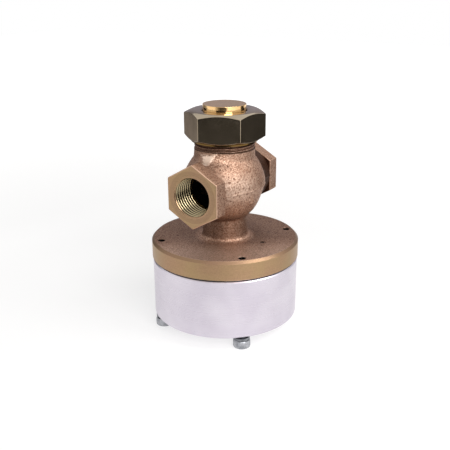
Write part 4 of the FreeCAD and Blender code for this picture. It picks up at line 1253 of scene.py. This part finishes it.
@dataclass(frozen=True)
class UnionNut:
    """Brass hexagon nut that clamps the top plug to the neck."""

    base: float = 96.7
    top: float = 111.5
    width: float = 35.0
    first_corner: float = 22.5
    face_radius: float = 16.5
    chamfer_height: float = 1.78
    corner_round: float = 0.08
    chamfer_round: float = 0.12
    rim_round: float = 0.25
    skirt: float = 0.6
    hole_radius: float = 11.1
    hole_chamfer: float = 0.5
    corner_span: float = 0.06
    thread_gaps: tuple[float, float] = (0.9, 0.4)
    recess_radius: float = 15.1
    mouth_radius: float = 15.25
    lip: float = 3.2
    thread: ThreadForm = ThreadForm(14.21, 15.1, 1.5)

    def flats(self, turn: Array) -> Array:
        """Radius of the hexagon in each direction, its corners rounded.

        The flats' distance over the cosine of the angle to the nearest flat gives the sharp hexagon. A smooth
        least with the circle through the corners takes the points off.

        Args:
            turn: Angles in radians.

        Returns:
            Radius in mm.
        """
        away = np.mod(turn - radians(self.first_corner), np.pi / 3) - np.pi / 6
        sharp = self.width / 2 / np.cos(away)
        corner = self.width / 2 / cos(np.pi / 6) - 0.02
        return smooth_least(sharp, corner, self.corner_round)

    def outline(self, turn: Array, side: Array) -> Array:
        """Radius of the nut's outside.

        It is the smooth least of the flats and of the chamfer cones, whose radius grows from the face's
        circle to the corner over the chamfer's height. The top edge drops by rim^2 / (2 * its rounding).

        Args:
            turn: Angles in radians.
            side: Heights above the base in mm.

        Returns:
            Radius in mm.
        """
        tall = self.top - self.base
        slope = (self.width / 2 / cos(np.pi / 6) - self.face_radius) / self.chamfer_height
        cone = self.face_radius + slope * np.maximum(np.minimum(side - self.skirt, tall - side), 0)
        rim = np.maximum(self.rim_round - (tall - side), 0)
        return smooth_least(cone, self.flats(turn), self.chamfer_round) - rim**2 / (2 * self.rim_round)

    def build(self, wardrobe: Wardrobe) -> None:
        """Build the nut as one closed surface: hole, lip, thread, mouth, flats, chamfers and faces.

        Angles are spaced evenly, and more closely by the six corners.

        Args:
            wardrobe: Source of the brass.
        """
        near = np.linspace(-self.corner_span, self.corner_span, 25)
        corners = [radians(self.first_corner + 60 * k) + near for k in range(6)]
        even = np.linspace(0, FULL_TURN, 240, endpoint=False)
        turn = np.unique(np.concatenate([even] + [np.mod(angles, FULL_TURN) for angles in corners]))
        tall = self.top - self.base
        bands = [np.linspace(0, 2.8, 40), np.linspace(2.9, tall - 2.3, 20), tall - np.linspace(2.2, 0, 34)]
        side = np.concatenate(bands)[:, None]
        below, above = self.thread_gaps
        bore = np.arange(self.base + below, self.top - self.lip - above, 0.1)[::-1, None]
        hole = [
            (self.hole_radius + self.hole_chamfer, self.top),
            (self.hole_radius, self.top - self.hole_chamfer),
            (self.hole_radius, self.top - self.lip),
            (self.recess_radius, self.top - self.lip),
        ]
        rows = [(np.full((1, len(turn)), radius), np.full((1, 1), level)) for radius, level in hole]
        rows.append((self.thread.radius(turn, bore), bore))
        rows.append((np.full((1, len(turn)), self.mouth_radius), np.full((1, 1), self.base)))
        rows.append((self.outline(turn, side), self.base + side))
        radius, level = (np.concatenate([row[part] for row in rows]) for part in (0, 1))
        points = turned_points(radius, level, turn)
        faces = grid_faces(len(points), len(turn), True, True)
        brass = wardrobe.materials[Finish.NUT_BRASS]
        make_piece("hexagon_nut", points, faces, Body.NUT, brass, ("union_nut",), crease=40)


@dataclass(frozen=True)
class TopPlug:
    """Buffed brass plug: its head stands out of the nut, its collar and boss close the neck."""

    head_radius: float = 10.65
    top: float = 114.35
    edge: float = 0.15
    edge_gap: float = 0.08
    collar_radius: float = 13.8
    collar: tuple[float, float] = (104.5, 107.5)
    boss_radius: float = 12.1
    boss_base: float = 98.0
    pocket_radius: float = 8.6
    pocket_top: float = 102.5

    def build(self, wardrobe: Wardrobe) -> None:
        """Turn the plug: its outline is carried round the axis, and the head's edge is a quarter circle.

        Args:
            wardrobe: Source of the buffed brass.
        """
        bend = np.linspace(0, np.pi / 2, 7)
        edge_radius = self.head_radius - self.edge * (1 - np.cos(bend))
        edge = np.stack([edge_radius, self.top - self.edge * (1 - np.sin(bend))], axis=1)
        rings = np.linspace(self.head_radius - self.edge - self.edge_gap, 0, 12)
        face = np.stack([rings, np.full(12, self.top)], axis=1)
        low, high = self.collar
        body = [
            [0, self.pocket_top],
            [self.pocket_radius, self.pocket_top],
            [self.pocket_radius, self.boss_base],
            [self.boss_radius, self.boss_base],
            [self.boss_radius, low],
            [self.collar_radius, low],
            [self.collar_radius, high],
            [self.head_radius, high],
            [self.head_radius, self.top - self.edge - self.edge_gap],
        ]
        outline = np.concatenate([body, edge, face])
        turn = np.linspace(0, FULL_TURN, 144, endpoint=False)
        points = turned_points(outline[:, :1], outline[:, 1:], turn)
        faces = grid_faces(len(points), len(turn), False, True)
        brass = wardrobe.materials[Finish.POLISHED_BRASS]
        replaced = ("top_plug",)
        make_piece("buffed_plug", points, faces, Body.HOUSING, brass, replaced, crease=40)


@dataclass(frozen=True)
class ClampScrew:
    """Socket-head screw, driven up from below through its spring washer."""

    number: int
    head_radius: float = 4.3
    head_height: float = 4.0
    knurl_depth: float = 0.2
    knurl_count: int = 32
    socket: float = 4.0
    socket_depth: float = 2.2
    shank: float = 2.5
    thread: ThreadForm = ThreadForm(2.1, 2.5, 0.8)
    thread_start: float = 30.0
    tip: float = 43.6
    tip_radius: float = 1.9

    def build(self, wardrobe: Wardrobe) -> None:
        """Build the screw as one closed surface, from the socket's floor round the head to the tip.

        The head's side is a straight knurl: its radius drops by the knurl's depth times a triangle wave of
        the angle. The socket is a hexagon, and the upper shank carries the thread.

        Args:
            wardrobe: Source of the zinc-plated steel.
        """
        turn = np.linspace(0, FULL_TURN, self.knurl_count * 6, endpoint=False)
        hexagon = self.socket / 2 / np.cos(np.mod(turn, np.pi / 3) - np.pi / 6)
        wave = np.abs(np.mod(turn * self.knurl_count / FULL_TURN, 1.0) * 2 - 1)
        knurled = self.head_radius - self.knurl_depth * wave
        shank = np.arange(self.thread_start, self.tip - 0.55, 0.08)[:, None]
        top = self.head_height
        rows = [
            (0, self.socket_depth),
            (hexagon * 0.98, self.socket_depth),
            (hexagon, 0.35),
            (hexagon + 0.3, 0.0),
            (3.85, 0.0),
            (4.08, 0.12),
            (knurled - 0.08, 0.42),
            (knurled, 0.6),
            (knurled, top - 0.75),
            (knurled - 0.1, top - 0.5),
            (4.05, top - 0.35),
            (3.9, top - 0.05),
            (3.8, top),
            (self.shank, top),
            (self.shank, self.thread_start - 0.1),
        ]
        head = [np.broadcast_to(radius, (1, len(turn))) for radius, _ in rows]
        tip = [np.full((1, len(turn)), radius) for radius in (self.tip_radius, 0.0)]
        radius = np.concatenate(head + [self.thread.radius(turn, shank)] + tip)
        level = np.concatenate([[level for _, level in rows], shank[:, 0], [self.tip, self.tip]])
        points = turned_points(radius, level[:, None], turn, bolt_place(self.number))
        faces = grid_faces(len(points), len(turn), False, True)
        zinc = wardrobe.materials[Finish.ZINC_STEEL]
        name, replaced = f"socket_screw_{self.number}", (f"clamp_screw_{self.number}",)
        make_piece(name, points, faces, Body.HOUSING, zinc, replaced, crease=28)


@dataclass(frozen=True)
class CoilSpring:
    """Round-wire spring between the stem and the housing, wound in place; it rides on neither body."""

    node: str
    mean: float
    wire: float
    turns: float
    rows_per_turn: int = 90
    wire_corners: int = 20

    def build(self, wardrobe: Wardrobe) -> None:
        """Wind the wire: an upright circle as thick as the wire is carried round an evenly rising helix.

        The circle shrinks to its middle at both ends, which closes the wire.

        Args:
            wardrobe: Source of the spring steel.
        """
        low, high = (corner[2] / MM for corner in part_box(self.node))
        steps = int(self.turns * self.rows_per_turn)
        turn = np.linspace(0, FULL_TURN * self.turns, steps)
        level = np.linspace(low + self.wire / 2, high - self.wire / 2, steps)
        turn, level = (np.concatenate([row[:1], row, row[-1:]])[:, None] for row in (turn, level))
        thick = np.concatenate([[0], np.full(steps, self.wire / 2), [0]])[:, None]
        bend = np.linspace(0, FULL_TURN, self.wire_corners, endpoint=False)
        points = turned_points(self.mean / 2 + thick * np.cos(bend), level + thick * np.sin(bend), turn)
        faces = grid_faces(len(points), len(bend), False, True)
        steel = wardrobe.materials[Finish.SPRING_STEEL]
        make_piece(
            "wound_" + self.node,
            points,
            faces,
            Body.STEM_GROUP,
            steel,
            (self.node,),
            crease=50,
            head=Body.HOUSING,
        )


def seen_share(tree: bpy.types.NodeTree) -> Socket:
    """Mark the rays of the camera, of gloss and of glass, for which a surface shows another light.

    Args:
        tree: The node tree of the floor or the world.

    Returns:
        One for those rays and nought for the others.
    """
    rays = add_node(tree, "LightPath").node.outputs
    names = ("Is Camera Ray", "Is Glossy Ray", "Is Transmission Ray")
    camera, gloss, glass = (rays[name] for name in names)
    seen = add_node(tree, "Math", camera, gloss, operation="ADD", use_clamp=True)
    return add_node(tree, "Math", seen, glass, operation="ADD", use_clamp=True)


@dataclass(frozen=True)
class Flag:
    """Card that stands or lies out of the picture, for the metals to mirror. Its edges fade out.

    Azimuth is in degrees from the photograph's camera to its right, tilt in degrees from flat to upright, and
    start, width and depth in metres: start is how far the near edge is from the valve's axis.
    """

    name: str
    azimuth: float
    start: float
    width: float
    depth: float
    tilt: float
    colour: str
    lift: float = 0.001
    edge_fade: float = 0.04
    lines: int = 41

    def cloth(self) -> bpy.types.Material:
        """Make the card's material: matt, and see-through by the share that its edges lack.

        Returns:
            The material.
        """
        material, surface = new_material(self.name + "_cloth")
        add = partial(add_node, material.node_tree)
        feed(surface, {"Base Color": linear(self.colour), "Roughness": 0.9})
        share = add("Attribute", attribute_name="fade").node.outputs["Fac"]
        mixed = add("MixShader", share, add("BsdfTransparent"), surface.outputs[0])
        feed(material.node_tree.nodes["Material Output"], {"Surface": mixed})
        return material

    def stand(self, front: float) -> None:
        """Put the card into the scene, hidden from the camera, from soft light and from shadows.

        A point at reach r and span s is (start + r cos(tilt)) away + s sideways, and r sin(tilt) up.

        Args:
            front: Azimuth of the photograph's camera in degrees.
        """
        turn, lean = radians(front + self.azimuth), radians(self.tilt)
        away, side = np.array([sin(turn), -cos(turn)]), np.array([cos(turn), sin(turn)])
        along = np.linspace(0, self.depth, self.lines)
        beside = np.linspace(-self.width / 2, self.width / 2, self.lines)
        reach, span = np.meshgrid(along, beside, indexing="ij")
        flat = (self.start + reach * cos(lean))[..., None] * away + span[..., None] * side
        points = np.concatenate([flat, (self.lift + reach * sin(lean))[..., None]], axis=-1)
        mesh = bpy.data.meshes.new(self.name)
        mesh.from_pydata(points.reshape(-1, 3), [], grid_faces(self.lines, self.lines, False, False))
        fade = mesh.attributes.new("fade", "FLOAT", "POINT")
        edge = np.minimum(np.minimum(reach, self.depth - reach), self.width / 2 - np.abs(span))
        fade.data.foreach_set("value", np.clip(edge / self.edge_fade, 0, 1).reshape(-1))
        mesh.materials.append(self.cloth())
        card = bpy.data.objects.new(self.name, mesh)
        card.visible_camera = False
        card.visible_diffuse = False
        card.visible_shadow = False
        bpy.context.scene.collection.objects.link(card)


@dataclass(frozen=True)
class Softbox:
    """Square lamp that faces the valve.

    Azimuth is in degrees from the photograph's camera to its right, elevation in degrees above the floor,
    reach and size in metres and power in watts.
    """

    name: str
    azimuth: float
    elevation: float
    reach: float
    size: float
    power: float
    aim: tuple[float, float, float] = (0.0, 0.0, 0.06)

    def stand(self, front: float) -> None:
        """Put the lamp into the scene.

        Args:
            front: Azimuth of the photograph's camera in degrees.
        """
        turn, tilt = radians(front + self.azimuth), radians(self.elevation)
        away = Vector((sin(turn) * cos(tilt), -cos(turn) * cos(tilt), sin(tilt)))
        data = bpy.data.lights.new(self.name, "AREA")
        data.shape, data.size, data.energy = "SQUARE", self.size, self.power
        lamp = bpy.data.objects.new(self.name, data)
        turned = away.to_track_quat("Z", "Y").to_matrix().to_4x4()
        lamp.matrix_world = Matrix.Translation(Vector(self.aim) + away * self.reach) @ turned
        bpy.context.scene.collection.objects.link(lamp)


@dataclass(frozen=True)
class Studio:
    """Camera, floor, soft lights and the cards that the metals mirror."""

    azimuth: float = 31.07
    elevation: float = 19.80
    roll: float = 0.28
    lens: float = 55.96
    place: tuple[float, float, float] = (0.1743, -0.2893, 0.1735)
    world_dim: float = 0.33
    floor_reach: float = 1.5
    floor_lines: int = 13
    floor_drop: float = 0.00002
    # The floor's glow, by distance from the valve in metres, so that its shadow stays
    glow: Limits = (0.15, 0.8, 0.66, 1.0)
    flags: tuple[Flag, ...] = (
        Flag("front_flag", -8, 0.18, 0.44, 1.2, 0, "#2C2A28"),
        Flag("far_front_flag", -17, 0.54, 0.84, 0.9, 0, "#1E1C1A"),
        Flag("right_flag", 107, 0.18, 0.36, 1.2, 0, "#2C2A28"),
        Flag("far_left_flag", -122, 0.58, 0.6, 0.9, 0, "#0E0D0C"),
        Flag("left_flag", -137, 0.18, 0.4, 0.5, 0, "#B8AFA8"),
        Flag("rear_flag", 180, 0.6, 1.2, 0.5, 90, "#B2ACB4"),
        Flag("camera_flag", -18, 0.7, 0.72, 0.36, 90, "#0E0D0C"),
        Flag("right_screen", 112, 0.7, 0.46, 0.32, 90, "#0E0D0C"),
        Flag("left_screen", -121, 0.7, 0.42, 0.32, 90, "#0E0D0C"),
    )
    softboxes: tuple[Softbox, ...] = (
        Softbox("key_softbox", 21, 28, 0.9, 0.6, 7.0),
        Softbox("side_softbox", 68, 50, 0.9, 0.4, 2.9),
    )

    def make_camera(self) -> None:
        """Stand the camera where the photograph was taken from."""
        turn, tilt, lean = radians(self.azimuth), radians(self.elevation), radians(self.roll)
        back = Vector((sin(turn) * cos(tilt), -cos(turn) * cos(tilt), sin(tilt)))
        right = Vector((cos(turn), sin(turn), 0.0))
        up = back.cross(right)
        leant_right = right * cos(lean) - up * sin(lean)
        leant_up = right * sin(lean) + up * cos(lean)
        data = bpy.data.cameras.new("camera")
        data.lens, data.sensor_width = self.lens, 36.0
        data.clip_start, data.clip_end = 0.01, 20.0
        camera = bpy.data.objects.new("camera", data)
        turned = Matrix((leant_right, leant_up, back)).transposed().to_4x4()
        camera.matrix_world = Matrix.Translation(self.place) @ turned
        bpy.context.scene.collection.objects.link(camera)
        bpy.context.scene.camera = camera

    def make_floor(self) -> None:
        """Lay a pale floor that shows white to the camera and in gloss, and keeps the valve's shadow."""
        span = np.linspace(-self.floor_reach, self.floor_reach, self.floor_lines)
        across, along = np.meshgrid(span, span, indexing="ij")
        points = np.stack([across, along, np.full_like(across, -self.floor_drop)], axis=-1)
        mesh = bpy.data.meshes.new("floor")
        faces = grid_faces(self.floor_lines, self.floor_lines, False, False)[:, ::-1]
        mesh.from_pydata(points.reshape(-1, 3), [], faces)
        material, surface = new_material("painted_floor")
        tree = material.node_tree
        add = partial(add_node, tree)
        feed(surface, {"Base Color": linear("#A3A2A1"), "Roughness": 0.8})
        away = add("VectorMath", add("TexCoord").node.outputs["Object"], operation="LENGTH")
        glow = add("Emission", linear("#FFFFFF"), add("MapRange", away, *self.glow))
        both = add("AddShader", surface.outputs[0], glow)
        mixed = add("MixShader", seen_share(tree), surface.outputs[0], both)
        feed(tree.nodes["Material Output"], {"Surface": mixed})
        mesh.materials.append(material)
        floor = bpy.data.objects.new("floor", mesh)
        bpy.context.scene.collection.objects.link(floor)

    def make_world(self) -> None:
        """Light from all round: plain grey, which the camera and gloss see as white."""
        world = bpy.data.worlds.new("studio")
        world.use_nodes = True
        tree = world.node_tree
        tree.nodes.remove(tree.nodes["Background"])
        dim = add_node(tree, "Background", linear("#FFFFFF"), self.world_dim)
        white = add_node(tree, "Background", linear("#FFFFFF"), 1.0)
        mixed = add_node(tree, "MixShader", seen_share(tree), dim, white)
        feed(tree.nodes["World Output"], {"Surface": mixed})
        bpy.context.scene.world = world

    def build(self) -> None:
        """Set up the picture."""
        self.make_camera()
        self.make_floor()
        self.make_world()
        for piece in self.flags + self.softboxes:
            piece.stand(self.azimuth)
            LOG.info("%s stands", piece.name)
        bpy.context.scene.view_settings.view_transform = "Standard"


def main() -> None:
    """Build the picture, dress the CAD nodes and make each assembly's fine pieces."""
    logging.basicConfig(level=logging.INFO, format="%(name)s %(message)s")
    Studio().build()
    wardrobe = Wardrobe()
    wardrobe.dress_nodes()
    GlobeCasting().build(wardrobe)
    UnionNut().build(wardrobe)
    TopPlug().build(wardrobe)
    for number in range(1, 5):
        ClampScrew(number).build(wardrobe)
    CoilSpring("return_spring", mean=28.0, wire=2.2, turns=3.0).build(wardrobe)
    CoilSpring("closing_spring", mean=15.2, wire=1.2, turns=5.0).build(wardrobe)


if __name__ == "__main__":
    main()
